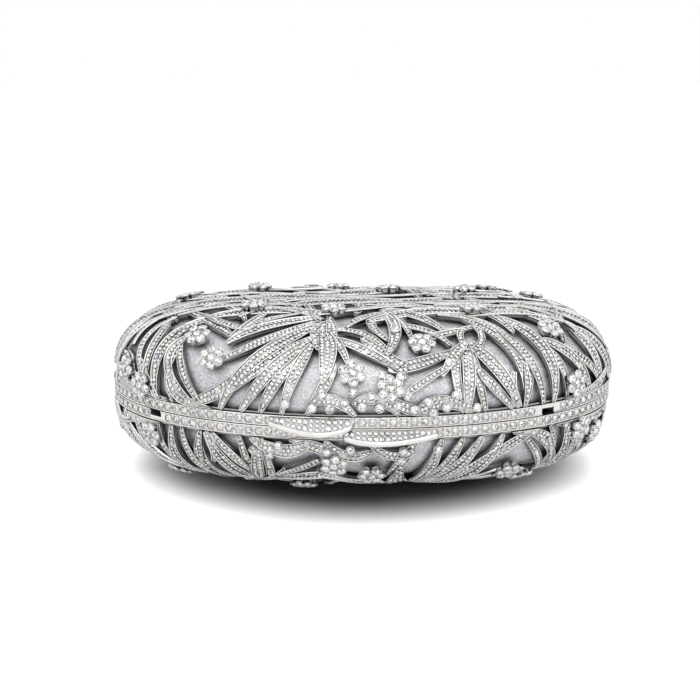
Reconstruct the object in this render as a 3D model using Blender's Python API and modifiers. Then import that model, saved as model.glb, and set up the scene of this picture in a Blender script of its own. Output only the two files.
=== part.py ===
"""Oval crystal evening handbag: two domed openwork halves hinged at the back.

Metres, +Z up. The bag lies on one face. X runs along the bag, the clasp is at -Y and the hinge at +Y.
The origin is the bottom centre of the whole bag.
"""
import math

import bmesh
import bpy
import numpy as np
from mathutils import Matrix, Vector, geometry

MM = 0.001

# Whole bag
HALF_LENGTH = 100.0 * MM
HALF_DEPTH = 59.5 * MM
HALF_THICKNESS = 35.6 * MM
PLAN_POWER_SHARE = 2.06
END_FULLNESS_SHARE = 5.2
SIDE_FULLNESS_SHARE = 2.5
DOME_FULLNESS_SHARE = 2.9
SEAT_GAP = 0.3 * MM
CUT_OVERRUN = 2.0 * MM
PROFILE_POINTS = 81
HALVINGS = 50

# Shells of one half, from the outside in
OPENWORK_THICKNESS = 1.7 * MM
BACKING_SETBACK = 1.0 * MM
BACKING_THICKNESS = 0.9 * MM
LINING_THICKNESS = 0.7 * MM
SHELL_SEGMENTS = 32
SHELL_ROW_SHARES = (0.42, 0.72, 0.9, 1.0)

# Rim frame
RIM_HEIGHT = 4.2 * MM
RIM_LEDGE = 1.0 * MM
RIM_LIP = 0.6 * MM
RIM_GROOVE_DEPTH = 0.5 * MM
RIM_SEGMENTS = 48
LINING_INSET = OPENWORK_THICKNESS + BACKING_SETBACK + BACKING_THICKNESS + SEAT_GAP
RIM_THICKNESS = LINING_INSET + LINING_THICKNESS + RIM_LEDGE

# Chain slots, rings and lugs
SLOT_LENGTH = 5.5 * MM
SLOT_HEIGHT = 2.6 * MM
LEFT_SLOT_SHARE = -0.776
RIGHT_SLOT_SHARE = 0.689
RING_RADIUS = 4.8 * MM
RING_WIRE_RADIUS = 0.8 * MM
RING_POINTS = 12
LUG_BORE_RADIUS = 1.1 * MM
LUG_WALL = 0.8 * MM
LUG_WIDTH = 2.0 * MM
LUG_REACH = 2.6 * MM
LUG_SLOT_SPACING = 5.2 * MM

# Openwork: leaf widths and the florets' pads
LEAF_WIDTH = 4.1 * MM
LEAF_TIP_WIDTH = 1.5 * MM
RIM_REACH_SHARE = 0.86
LEAF_PEAK_SHARE = 0.8
LEAF_FULLNESS_SHARE = 0.75
LEAF_STATIONS = 5
BASE_RING_WIDTH = 2.0 * MM
PAD_RADIUS = 3.4 * MM
PAD_POINTS = 7
SMALLEST_HOLE = 2.8 * MM
SHORTEST_EDGE = 1.4 * MM
LONGEST_EDGE = 9.0 * MM
FLATNESS = 0.45 * MM
WELD_DISTANCE = 0.002 * MM

# Florets
FLORET_RADIUS = 4.6 * MM
FLORET_LOBE_DEPTH = 0.55 * MM
FLORET_HEIGHT = 2.1 * MM
FLORET_TABLE_RADIUS = 3.6 * MM
FLORET_LOBES = 6

# Thumb tabs
TAB_REACH = 3.7 * MM
TAB_LIP_HEIGHT = 1.7 * MM
TAB_STATIONS = 11
TAB_END_SHARE = 0.08
TAB_FULLNESS_SHARE = 0.7
UPPER_TAB_ENDS = (-33.5 * MM, -3.4 * MM)
UPPER_TAB_DROP = 2.1 * MM
LOWER_TAB_ENDS = (-6.6 * MM, 27.0 * MM)
LOWER_TAB_DROP = 5.4 * MM
TAB_ROOT = 0.5 * MM

# Clasp inside the near rim
CLASP_PLACE = -5.0 * MM
STRIKER_WIDTH = 12.0 * MM
STRIKER_THICKNESS = 1.2 * MM
STRIKER_GAP = 0.5 * MM
STRIKER_DROP = 5.2 * MM
STRIKER_RIVET_SPACING = 7.0 * MM
BRACKET_ARM_WIDTH = 3.0 * MM
BRACKET_THICKNESS = 0.7 * MM
BRACKET_BAR_HEIGHT = 2.2 * MM
BRACKET_SIDE_GAP = 1.2 * MM
SPRING_WIDTH = 9.0 * MM
SPRING_THICKNESS = 0.4 * MM
RIVET_RADIUS = 0.7 * MM
RIVET_HEAD_RADIUS = 1.15 * MM
RIVET_HEAD_HEIGHT = 0.5 * MM
RIVET_DEPTH = 1.6 * MM
RIVET_POINTS = 8
RIVET_CLEARANCE = 0.08 * MM

# Hinge at the far rim
HINGE_LENGTH = 38.0 * MM
KNUCKLE_COUNT = 5
KNUCKLE_RADIUS = 1.9 * MM
KNUCKLE_GAP = 0.3 * MM
KNUCKLE_POINTS = 12
PIN_RADIUS = 0.8 * MM
PIN_CLEARANCE = 0.1 * MM
PIN_HEAD_RADIUS = 1.3 * MM
PIN_HEAD_LENGTH = 0.8 * MM
HINGE_PLATE_THICKNESS = 1.3 * MM

# Leaves as shares of the sheet's half length and half depth: root, bend, tip, width share
LEAF_SHARES = (
    # The spray at the near side's middle
    (-0.14, -0.34, -0.31, -0.44, -0.42, -0.56, 0.95),
    (-0.14, -0.38, -0.30, -0.60, -0.44, -0.65, 1.05),
    (-0.13, -0.43, -0.29, -0.68, -0.44, -0.74, 1.15),
    (-0.14, -0.53, -0.38, -0.88, -0.64, -0.75, 1.25),
    (-0.16, -0.58, -0.28, -0.78, -0.44, -0.91, 1.10),
    (-0.16, -0.60, -0.24, -0.78, -0.37, -0.94, 1.20),
    (-0.15, -0.60, -0.19, -0.76, -0.27, -0.90, 1.05),
    (-0.12, -0.48, -0.08, -0.68, -0.13, -0.84, 1.60),
    (-0.08, -0.72, -0.11, -0.86, -0.20, -0.98, 1.00),
    (-0.09, -0.52, -0.06, -0.64, -0.04, -0.74, 0.70),
    (-0.09, -0.47, 0.01, -0.46, 0.08, -0.66, 0.85),
    (-0.08, -0.56, 0.00, -0.64, 0.10, -0.75, 0.90),
    (-0.09, -0.38, -0.17, -0.48, -0.13, -0.64, 0.90),
    (-0.09, -0.58, -0.09, -0.47, -0.10, -0.32, 1.00),
    # The scrolls at the left end
    (-0.56, -0.46, -0.70, -0.55, -0.58, -0.78, 0.95),
    (-0.59, -0.53, -0.68, -0.62, -0.69, -0.72, 0.70),
    (-0.64, -0.62, -0.70, -0.71, -0.54, -0.83, 1.00),
    (-0.58, -0.50, -0.60, -0.66, -0.54, -0.77, 0.90),
    (-0.53, -0.35, -0.64, -0.44, -0.75, -0.65, 1.15),
    (-0.62, -0.22, -0.80, -0.36, -0.70, -0.58, 0.90),
    (-0.64, -0.27, -0.67, -0.46, -0.72, -0.53, 0.90),
    (-0.53, -0.16, -0.68, -0.10, -0.78, -0.32, 0.90),
    (-0.50, -0.29, -0.60, -0.41, -0.67, -0.50, 1.10),
    (-0.72, -0.10, -0.80, -0.24, -0.93, -0.30, 1.10),
    (-0.96, -0.24, -0.88, -0.48, -0.70, -0.68, 0.95),
    (-0.75, -0.45, -0.75, -0.60, -0.74, -0.66, 1.10),
    (-0.85, -0.26, -0.77, -0.38, -0.80, -0.52, 0.90),
    # The left shoulder
    (-0.54, -0.12, -0.43, -0.06, -0.37, -0.38, 0.90),
    (-0.52, -0.25, -0.42, -0.46, -0.35, -0.46, 0.95),
    (-0.60, -0.14, -0.46, -0.40, -0.40, -0.52, 1.00),
    (-0.36, -0.48, -0.33, -0.39, -0.20, -0.30, 0.90),
    (-0.41, -0.52, -0.34, -0.42, -0.31, -0.26, 0.90),
    (-0.35, -0.15, -0.23, -0.22, -0.12, -0.37, 1.05),
    (-0.32, -0.04, -0.22, -0.10, -0.16, -0.38, 0.90),
    (-0.20, -0.04, -0.18, -0.14, -0.13, -0.40, 0.90),
    # The small spray near the crown
    (0.07, -0.26, -0.01, -0.32, -0.05, -0.46, 1.00),
    (0.07, -0.26, -0.02, -0.38, 0.08, -0.57, 0.90),
    (0.06, -0.22, 0.14, -0.56, 0.06, -0.70, 1.10),
    (0.07, -0.24, 0.12, -0.34, 0.15, -0.56, 0.80),
    (0.07, -0.23, 0.15, -0.26, 0.25, -0.49, 1.00),
    (0.10, -0.42, 0.19, -0.44, 0.27, -0.60, 0.95),
    (0.07, -0.19, 0.16, -0.08, 0.25, -0.27, 0.90),
    (0.00, -0.55, 0.05, -0.69, 0.14, -0.74, 1.10),
    (0.08, -0.76, 0.17, -0.74, 0.29, -0.63, 1.20),
    (0.14, -0.88, 0.19, -0.82, 0.29, -0.70, 0.75),
    (0.09, -0.91, 0.14, -0.96, 0.26, -0.96, 1.05),
    (-0.18, -0.93, -0.10, -0.86, -0.02, -0.95, 1.05),
    (-0.03, -0.94, 0.04, -0.86, 0.13, -0.96, 1.05),
    (0.03, -0.66, 0.08, -0.70, 0.14, -0.80, 0.90),
    (0.19, -0.97, 0.23, -0.86, 0.36, -0.82, 1.30),
    # The spray at the near side's right
    (0.32, -0.47, 0.25, -0.51, 0.14, -0.59, 0.80),
    (0.32, -0.58, 0.28, -0.65, 0.25, -0.78, 1.05),
    (0.32, -0.58, 0.24, -0.73, 0.34, -0.87, 0.95),
    (0.32, -0.59, 0.33, -0.80, 0.38, -0.93, 1.20),
    (0.33, -0.60, 0.36, -0.80, 0.45, -0.90, 0.90),
    (0.33, -0.57, 0.39, -0.70, 0.53, -0.76, 1.15),
    (0.36, -0.72, 0.42, -0.80, 0.55, -0.84, 0.85),
    (0.32, -0.62, 0.27, -0.46, 0.36, -0.44, 0.65),
    (0.35, -0.44, 0.40, -0.56, 0.33, -0.64, 0.70),
    (0.29, -0.28, 0.47, -0.56, 0.52, -0.71, 1.15),
    (0.43, -0.46, 0.50, -0.60, 0.66, -0.75, 0.95),
    (0.49, -0.69, 0.48, -0.78, 0.57, -0.82, 0.80),
    (0.52, -0.63, 0.56, -0.72, 0.59, -0.81, 1.05),
    (0.44, -0.31, 0.59, -0.53, 0.65, -0.66, 1.20),
    (0.56, -0.50, 0.65, -0.54, 0.76, -0.65, 0.95),
    (0.58, -0.47, 0.66, -0.48, 0.85, -0.51, 0.90),
    (0.64, -0.49, 0.75, -0.44, 0.91, -0.40, 0.90),
    # The right shoulder and end
    (0.48, -0.18, 0.64, -0.28, 0.66, -0.43, 1.00),
    (0.24, -0.30, 0.35, -0.31, 0.45, -0.47, 1.05),
    (0.30, -0.10, 0.40, -0.20, 0.48, -0.46, 1.05),
    (0.47, -0.09, 0.61, -0.12, 0.72, -0.29, 1.00),
    (0.70, -0.28, 0.78, -0.36, 0.89, -0.38, 1.05),
    (0.90, -0.30, 0.90, -0.48, 0.74, -0.65, 1.00),
    # The long leaves over the crown
    (-0.95, -0.14, -0.80, -0.02, -0.58, -0.02, 1.31),
    (-0.92, -0.30, -0.76, -0.18, -0.54, -0.14, 1.31),
    (-0.66, -0.08, -0.48, 0.06, -0.26, 0.02, 1.31),
    (-0.62, -0.20, -0.44, -0.08, -0.22, -0.12, 1.31),
    (-0.50, -0.30, -0.34, -0.20, -0.10, -0.28, 1.25),
    (-0.28, -0.04, -0.12, 0.10, 0.08, 0.06, 1.31),
    (-0.24, -0.14, -0.06, -0.02, 0.14, -0.05, 1.31),
    (-0.14, -0.30, 0.04, -0.10, 0.24, -0.16, 1.31),
    (0.02, -0.38, 0.20, -0.20, 0.38, -0.28, 1.25),
    (0.10, -0.04, 0.28, -0.12, 0.46, -0.04, 1.31),
    (0.24, -0.14, 0.42, -0.22, 0.60, -0.12, 1.31),
    (0.34, -0.32, 0.52, -0.18, 0.72, -0.24, 1.31),
    (0.52, -0.02, 0.70, -0.10, 0.90, -0.02, 1.25),
    (0.64, -0.12, 0.80, -0.20, 0.96, -0.12, 1.25),
    (0.72, -0.24, 0.84, -0.28, 0.95, -0.22, 1.12),
    (-0.40, -0.32, -0.30, -0.16, -0.34, 0.02, 1.00),
    (-0.02, -0.26, 0.02, -0.10, -0.04, 0.08, 1.00),
    (0.42, -0.28, 0.44, -0.12, 0.36, 0.04, 1.00),
    (0.62, -0.30, 0.70, -0.16, 0.66, 0.02, 1.00),
    (-0.62, -0.24, -0.70, -0.10, -0.66, 0.06, 1.00),
)

# Florets as shares of the sheet, on the near side, and the ones that the bag rests on
FLORET_SHARES = (
    (-0.52, -0.48), (-0.47, -0.64), (-0.83, -0.41), (-0.09, -0.24), (-0.03, -0.79), (0.18, -0.61),
)
REST_FLORET_SHARES = ((-0.36, -0.20), (0.36, -0.26), (0.36, 0.20), (-0.36, 0.26))

METAL = (0.62, 0.60, 0.58, 1.0)
PALE_METAL = (0.74, 0.73, 0.71, 1.0)
CRYSTAL = (0.86, 0.87, 0.90, 1.0)
GLITTER = (0.55, 0.56, 0.57, 1.0)
SATIN = (0.46, 0.45, 0.44, 1.0)
STEEL = (0.55, 0.55, 0.56, 1.0)

for old in list(bpy.data.objects):
    bpy.data.objects.remove(old, do_unlink=True)

parts = bpy.data.collections.new("crystal_handbag")
cutters = bpy.data.collections.new("cutters")
bpy.context.scene.collection.children.link(parts)
bpy.context.scene.collection.children.link(cutters)


def make_material(name, colour, metallic, roughness):
    """One Principled material."""
    material = bpy.data.materials.new(name)
    material.use_nodes = True
    shader = material.node_tree.nodes["Principled BSDF"]
    shader.inputs["Base Color"].default_value = colour
    shader.inputs["Metallic"].default_value = metallic
    shader.inputs["Roughness"].default_value = roughness
    material.diffuse_color = colour
    return material


def link_part(name, mesh, look, smooth=False):
    """A named part with its own material."""
    colour, metallic, roughness = look
    mesh.materials.clear()
    mesh.materials.append(make_material(name, colour, metallic, roughness))
    for polygon in mesh.polygons:
        polygon.use_smooth = smooth
    part = bpy.data.objects.new(name, mesh)
    parts.objects.link(part)
    return part


SILVER_LOOK = (METAL, 1.0, 0.25)
PALE_LOOK = (PALE_METAL, 1.0, 0.2)
CRYSTAL_LOOK = (CRYSTAL, 0.3, 0.1)
GLITTER_LOOK = (GLITTER, 0.4, 0.5)
SATIN_LOOK = (SATIN, 0.0, 0.6)
STEEL_LOOK = (STEEL, 1.0, 0.35)


# Shape of one half: height 0 is the parting plane, the crown is up

def plan_factor(angle):
    """Distance to the plan outline, as a share of the ellipse's."""
    power = PLAN_POWER_SHARE
    return (abs(math.cos(angle)) ** power + abs(math.sin(angle)) ** power) ** (-1 / power)


def rim_point(angle, inset, height):
    """Point on the rim outline, moved inwards by inset."""
    factor = plan_factor(angle)
    return Vector(((HALF_LENGTH - inset) * factor * math.cos(angle),
                   (HALF_DEPTH - inset) * factor * math.sin(angle), height))


OPENWORK_CROWN = HALF_THICKNESS - FLORET_HEIGHT - SEAT_GAP
SHELL_FOOT = RIM_HEIGHT + SEAT_GAP
PROFILE_STEPS = np.linspace(0.0, 1.0, PROFILE_POINTS) ** 2


def dome_profile(angle, inset):
    """Plan share, height and arc length from the crown to the shell's foot."""
    fullness = SIDE_FULLNESS_SHARE + (END_FULLNESS_SHARE - SIDE_FULLNESS_SHARE) * math.cos(angle) ** 2
    crown = OPENWORK_CROWN - inset
    last = math.acos((SHELL_FOOT / crown) ** (DOME_FULLNESS_SHARE / 2))
    turn = PROFILE_STEPS * last
    share = np.sin(turn) ** (2 / fullness)
    height = crown * np.cos(turn) ** (2 / DOME_FULLNESS_SHARE)
    edge = rim_point(angle, inset, 0)
    reach = share * edge.length
    arc = np.concatenate(([0.0], np.cumsum(np.hypot(np.diff(reach), np.diff(height)))))
    return share, height, arc


def dome_point(angle, arc_share, inset):
    """Point on the dome at a share of the arc from its crown to its foot."""
    share, height, arc = dome_profile(angle, inset)
    place = arc_share * arc[-1]
    edge = rim_point(angle, inset, 0)
    plan = float(np.interp(place, arc, share))
    return Vector((edge.x * plan, edge.y * plan, float(np.interp(place, arc, height))))


SHEET_HALF_LENGTH = float(dome_profile(0.0, 0.0)[2][-1])
SHEET_HALF_DEPTH = float(dome_profile(math.pi / 2, 0.0)[2][-1])


def sheet_to_dome(place, inset):
    """Point of the dome for a point of the flat sheet that it is bent from."""
    along = place[0] / SHEET_HALF_LENGTH
    across = place[1] / SHEET_HALF_DEPTH
    return dome_point(math.atan2(across, along), min(math.hypot(along, across), 1.0), inset)


def dome_normal(place):
    """Outward direction of the dome at a point of the flat sheet."""
    step = BASE_RING_WIDTH / 2
    ahead = sheet_to_dome((place[0] + step, place[1]), 0.0) - sheet_to_dome((place[0] - step, place[1]), 0.0)
    aside = sheet_to_dome((place[0], place[1] + step), 0.0) - sheet_to_dome((place[0], place[1] - step), 0.0)
    return ahead.cross(aside).normalized()


# Solids from rings of points

def loft(rings, closed=False):
    """Closed solid through rings of points. A ring of one point is a pole."""
    shape = bmesh.new()
    rows = [[shape.verts.new(point) for point in ring] for ring in rings]
    pairs = list(zip(rows, rows[1:]))
    if closed:
        pairs.append((rows[-1], rows[0]))
    for low, high in pairs:
        count = max(len(low), len(high))
        for index in range(count):
            after = (index + 1) % count
            corners = [low[index % len(low)]]
            if len(low) > 1:
                corners.append(low[after])
            if len(high) > 1:
                corners.append(high[after])
            corners.append(high[index % len(high)])
            shape.faces.new(corners)
    if not closed:
        for row in (rows[0], rows[-1]):
            if len(row) > 1:
                shape.faces.new(row)
    bmesh.ops.recalc_face_normals(shape, faces=shape.faces)
    mesh = bpy.data.meshes.new("loft")
    shape.to_mesh(mesh)
    shape.free()
    return mesh


def make_cutter(name, mesh):
    """A shape that only cuts or joins, kept out of the render."""
    cutter = bpy.data.objects.new(name, mesh)
    cutters.objects.link(cutter)
    cutter.hide_render = True
    cutter.display_type = "WIRE"
    return cutter


def combine(part, other, operation):
    """Exact Boolean on a part."""
    modifier = part.modifiers.new(other.name, "BOOLEAN")
    modifier.operation = operation
    modifier.solver = "EXACT"
    modifier.object = other


def box_mesh(low, high):
    """Box between two corners."""
    shape = bmesh.new()
    size = Vector(high) - Vector(low)
    centre = (Vector(high) + Vector(low)) / 2
    bmesh.ops.create_cube(shape, size=1, matrix=Matrix.Translation(centre) @ Matrix.Diagonal(size.to_4d()))
    mesh = bpy.data.meshes.new("box")
    shape.to_mesh(mesh)
    shape.free()
    return mesh


def cylinder_mesh(start, end, radius, points):
    """Cylinder between two places."""
    shape = bmesh.new()
    run = Vector(end) - Vector(start)
    spin = Vector((0, 0, 1)).rotation_difference(run).to_matrix().to_4x4()
    middle = Matrix.Translation((Vector(start) + Vector(end)) / 2)
    bmesh.ops.create_cone(shape, cap_ends=True, segments=points, radius1=radius, radius2=radius,
                          depth=run.length, matrix=middle @ spin)
    mesh = bpy.data.meshes.new("cylinder")
    shape.to_mesh(mesh)
    shape.free()
    return mesh


# The openwork sheet

def leaf_outline(shares):
    """Outline of one leaf on the flat sheet. A leaf that ends near the rim runs on to it."""
    root = Vector((shares[0] * SHEET_HALF_LENGTH, shares[1] * SHEET_HALF_DEPTH))
    bend = Vector((shares[2] * SHEET_HALF_LENGTH, shares[3] * SHEET_HALF_DEPTH))
    reach = math.hypot(shares[4], shares[5])
    stretch = 1 / reach if reach > RIM_REACH_SHARE else 1.0
    tip = Vector((shares[4] * SHEET_HALF_LENGTH, shares[5] * SHEET_HALF_DEPTH)) * stretch
    left, right = [], []
    for station in range(LEAF_STATIONS + 1):
        way = station / LEAF_STATIONS
        middle = root.lerp(bend, way).lerp(bend.lerp(tip, way), way)
        along = (bend - root).lerp(tip - bend, way).normalized()
        side = Vector((-along.y, along.x))
        fullness = max(math.sin(math.pi * way ** LEAF_PEAK_SHARE), 0) ** LEAF_FULLNESS_SHARE
        swell = fullness * (LEAF_WIDTH * shares[6] - LEAF_TIP_WIDTH)
        left.append(middle + side * (LEAF_TIP_WIDTH + swell) / 2)
        right.append(middle - side * (LEAF_TIP_WIDTH + swell) / 2)
    return right + left[::-1]


def base_ring_outlines():
    """Quads of the band round the sheet's edge."""
    outlines = []
    inner_length = SHEET_HALF_LENGTH - BASE_RING_WIDTH
    inner_depth = SHEET_HALF_DEPTH - BASE_RING_WIDTH
    for index in range(RIM_SEGMENTS):
        first = 2 * math.pi * index / RIM_SEGMENTS
        second = 2 * math.pi * ((index + 1) % RIM_SEGMENTS) / RIM_SEGMENTS
        outlines.append([
            Vector((SHEET_HALF_LENGTH * math.cos(first), SHEET_HALF_DEPTH * math.sin(first))),
            Vector((SHEET_HALF_LENGTH * math.cos(second), SHEET_HALF_DEPTH * math.sin(second))),
            Vector((inner_length * math.cos(second), inner_depth * math.sin(second))),
            Vector((inner_length * math.cos(first), inner_depth * math.sin(first))),
        ])
    return outlines


def pad_outline(shares):
    """Round pad under a floret."""
    centre = Vector((shares[0] * SHEET_HALF_LENGTH, shares[1] * SHEET_HALF_DEPTH))
    turns = [2 * math.pi * index / PAD_POINTS for index in range(PAD_POINTS)]
    return [centre + PAD_RADIUS * Vector((math.cos(turn), math.sin(turn))) for turn in turns]


def both_ways(shares):
    """A row of shares and the same row turned half round."""
    return shares, tuple(-share for share in shares[:6]) + tuple(shares[6:])


def signed_area(loop):
    """Area of a closed outline, negative when it runs clockwise."""
    return sum(a.x * b.y - a.y * b.x for a, b in zip(loop, loop[1:] + loop[:1])) / 2


def border_loops(outlines):
    """Border of the union of flat outlines, as loops of points."""
    points, faces = [], []
    for outline in outlines:
        faces.append(list(range(len(points), len(points) + len(outline))))
        points.extend(outline)
    corners, _, tris, _, _, sources = geometry.delaunay_2d_cdt(points, [], faces, 1, WELD_DISTANCE, True)
    sides = set()
    for tri, source in zip(tris, sources):
        if source:
            sides.update(zip(tri, tri[1:] + tri[:1]))
    following = {}
    for start, end in sides:
        if (end, start) not in sides:
            following.setdefault(start, []).append(end)
    loops = []
    while following:
        start = next(iter(following))
        loop, place = [], start
        while place in following:
            loop.append(corners[place])
            after = following[place].pop()
            if not following[place]:
                del following[place]
            place = after
        loops.append(loop)
    return loops


def off_line(point, start, end):
    """Distance of a point from the line through two others."""
    run = (end - start).normalized()
    return abs(run.x * (point.y - start.y) - run.y * (point.x - start.x))


def tidy_loop(loop):
    """Loop without the points that lie too close together or on a straight stretch."""
    kept = []
    for index, point in enumerate(loop):
        ahead = loop[(index + 1) % len(loop)]
        if kept:
            close = (point - kept[-1]).length < SHORTEST_EDGE
            short = (ahead - kept[-1]).length < LONGEST_EDGE
            if close or (short and off_line(point, kept[-1], ahead) < FLATNESS):
                continue
        kept.append(point)
    if len(kept) > 2 and (kept[0] - kept[-1]).length < SHORTEST_EDGE:
        kept.pop()
    return kept


def points_inside(places, loop):
    """For each place, whether it lies inside the loop."""
    inside = np.zeros(len(places), dtype=bool)
    for start, end in zip(loop, loop[1:] + loop[:1]):
        crosses = (start.y > places[:, 1]) != (end.y > places[:, 1])
        if start.y != end.y:
            meet = start.x + (places[:, 1] - start.y) * (end.x - start.x) / (end.y - start.y)
            inside ^= crosses & (places[:, 0] < meet)
    return inside


def border_sides(tris, solid):
    """Directed sides of the solid triangles that no other solid triangle shares."""
    sides = set()
    for tri, keep in zip(tris, solid):
        if keep:
            sides.update(zip(tri, list(tri[1:]) + list(tri[:1])))
    return [(start, end) for start, end in sides if (end, start) not in sides]


def fill_pinches(tris, solid):
    """Make solid each triangle round a corner where the sheet touches itself at a point."""
    while True:
        starts = [start for start, _ in border_sides(tris, solid)]
        pinched = {start for start in starts if starts.count(start) > 1}
        if not pinched:
            return
        for index, tri in enumerate(tris):
            if pinched.intersection(tri):
                solid[index] = True


def openwork_mesh():
    """Leaves, pads and base ring joined on the flat sheet, thickened and bent over the dome."""
    outlines = base_ring_outlines()
    for row in LEAF_SHARES:
        outlines.extend(leaf_outline(shares) for shares in both_ways(row))
    for row in FLORET_SHARES:
        outlines.extend(pad_outline(shares) for shares in both_ways(row))
    outlines.extend(pad_outline(shares) for shares in REST_FLORET_SHARES)
    loops = sorted(border_loops(outlines), key=signed_area)
    holes = [tidy_loop(loop) for loop in loops if signed_area(loop) < -SMALLEST_HOLE ** 2]
    holes = [hole for hole in holes if len(hole) > 2 and signed_area(hole) < -SMALLEST_HOLE ** 2]
    border = tidy_loop(loops[-1])
    islands = [loop for loop in loops[:-1] if signed_area(loop) > 0]
    for island in islands:
        spots = np.array([hole[0] for hole in holes])
        within = points_inside(spots, island)
        holes = [hole for hole, lost in zip(holes, within) if not lost]

    points, edges = [], []
    for loop in [border] + holes:
        first = len(points)
        points.extend(loop)
        count = len(loop)
        edges.extend((first + index, first + (index + 1) % count) for index in range(count))
    corners, _, tris, _, _, _ = geometry.delaunay_2d_cdt(points, edges, [], 1, WELD_DISTANCE, False)
    middles = np.array([sum((corners[index] for index in tri), Vector((0, 0))) / 3 for tri in tris])
    solid = points_inside(middles, border)
    for hole in holes:
        solid &= ~points_inside(middles, hole)
    fill_pinches(tris, solid)

    shape = bmesh.new()
    outer = [shape.verts.new(sheet_to_dome(corner, 0.0)) for corner in corners]
    inner = [shape.verts.new(sheet_to_dome(corner, OPENWORK_THICKNESS)) for corner in corners]
    for tri, keep in zip(tris, solid):
        if keep:
            shape.faces.new([outer[index] for index in tri])
            shape.faces.new([inner[index] for index in reversed(tri)])
    for start, end in border_sides(tris, solid):
        shape.faces.new((outer[end], outer[start], inner[start], inner[end]))
    loose = [vertex for vertex in shape.verts if not vertex.link_faces]
    bmesh.ops.delete(shape, geom=loose, context="VERTS")
    bmesh.ops.recalc_face_normals(shape, faces=shape.faces)
    mesh = bpy.data.meshes.new("openwork")
    shape.to_mesh(mesh)
    shape.free()
    return mesh


# Shells and rim

def shell_mesh(outer_inset, thickness):
    """Bowl shell between two insets of the dome."""
    turns = [2 * math.pi * index / SHELL_SEGMENTS for index in range(SHELL_SEGMENTS)]
    inner_inset = outer_inset + thickness
    rings = [[dome_point(0.0, 0.0, outer_inset)]]
    rings += [[dome_point(turn, share, outer_inset) for turn in turns] for share in SHELL_ROW_SHARES]
    rings += [[dome_point(turn, share, inner_inset) for turn in turns] for share in SHELL_ROW_SHARES[::-1]]
    rings += [[dome_point(0.0, 0.0, inner_inset)]]
    return loft(rings)


def rim_mesh():
    """Rim band with a groove for its row of crystals."""
    foot = SEAT_GAP / 2
    profile = (
        (0.0, foot),
        (0.0, foot + RIM_LIP),
        (RIM_GROOVE_DEPTH, foot + RIM_LIP),
        (RIM_GROOVE_DEPTH, RIM_HEIGHT - RIM_LIP),
        (0.0, RIM_HEIGHT - RIM_LIP),
        (0.0, RIM_HEIGHT),
        (RIM_THICKNESS, RIM_HEIGHT),
        (RIM_THICKNESS, foot),
    )
    turns = [2 * math.pi * index / RIM_SEGMENTS for index in range(RIM_SEGMENTS)]
    return loft([[rim_point(turn, inset, height) for inset, height in profile] for turn in turns], closed=True)


def rim_angle(place, side):
    """Angle at which the rim's outer line passes a place along X, on the near (-1) or far (+1) side."""
    low, high = 0.0, math.pi
    for _ in range(HALVINGS):
        middle = (low + high) / 2
        if rim_point(middle, 0.0, 0.0).x > place:
            low = middle
        else:
            high = middle
    return side * (low + high) / 2


def rim_axes(place, side, inset):
    """Point on the rim at a place along X, with the way inwards and the way along."""
    angle = rim_angle(place, side)
    step = RIM_LIP / HALF_LENGTH
    along = (rim_point(angle + step, inset, 0.0) - rim_point(angle - step, inset, 0.0)).normalized()
    inwards = Vector((-along.y, along.x, 0.0))
    return rim_point(angle, inset, 0.0), inwards, along


def oriented_box(place, side, start, end, width, low, high):
    """Box through the rim: inward from start to end, centred along the rim."""
    point, inwards, along = rim_axes(place, side, 0.0)
    mesh = box_mesh((-width / 2, start, low), (width / 2, end, high))
    frame = Matrix((along, inwards, Vector((0, 0, 1)))).transposed().to_4x4()
    mesh.transform(Matrix.Translation(point) @ frame)
    return mesh


# Two halves: the lower one is the same casting turned over about the Y axis

TURNED_OVER = Matrix.Diagonal((-1.0, 1.0, -1.0, 1.0))
UPRIGHT = Matrix.Identity(4)

HALVES = (("upper", UPRIGHT), ("lower", TURNED_OVER))


def turned(mesh, matrix):
    """Mesh after a turn, facing outwards."""
    mesh.transform(matrix)
    mesh.update()
    return mesh


rims = {}
for half, matrix in HALVES:
    rims[half] = link_part(half + "_rim_frame", turned(rim_mesh(), matrix), SILVER_LOOK)
    link_part(half + "_openwork_cover", turned(openwork_mesh(), matrix), PALE_LOOK)
    backing = shell_mesh(OPENWORK_THICKNESS + BACKING_SETBACK, BACKING_THICKNESS)
    link_part(half + "_backing_shell", turned(backing, matrix), GLITTER_LOOK, smooth=True)
    lining = shell_mesh(LINING_INSET, LINING_THICKNESS)
    link_part(half + "_lining", turned(lining, matrix), SATIN_LOOK, smooth=True)


# Florets

def floret_mesh(height):
    """Six-lobed crystal setting with a flat table, standing on the XY plane."""
    count = FLORET_LOBES * 2
    turns = [2 * math.pi * index / count for index in range(count)]
    lobes = [FLORET_LOBE_DEPTH / 2 * (math.cos(FLORET_LOBES * turn) - 1) for turn in turns]

    def ring(radius, level):
        return [Vector(((radius + lobe) * math.cos(turn), (radius + lobe) * math.sin(turn), level))
                for turn, lobe in zip(turns, lobes)]

    return loft([ring(FLORET_RADIUS, 0.0), ring(FLORET_RADIUS, height / 2), ring(FLORET_TABLE_RADIUS, height)])


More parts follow.
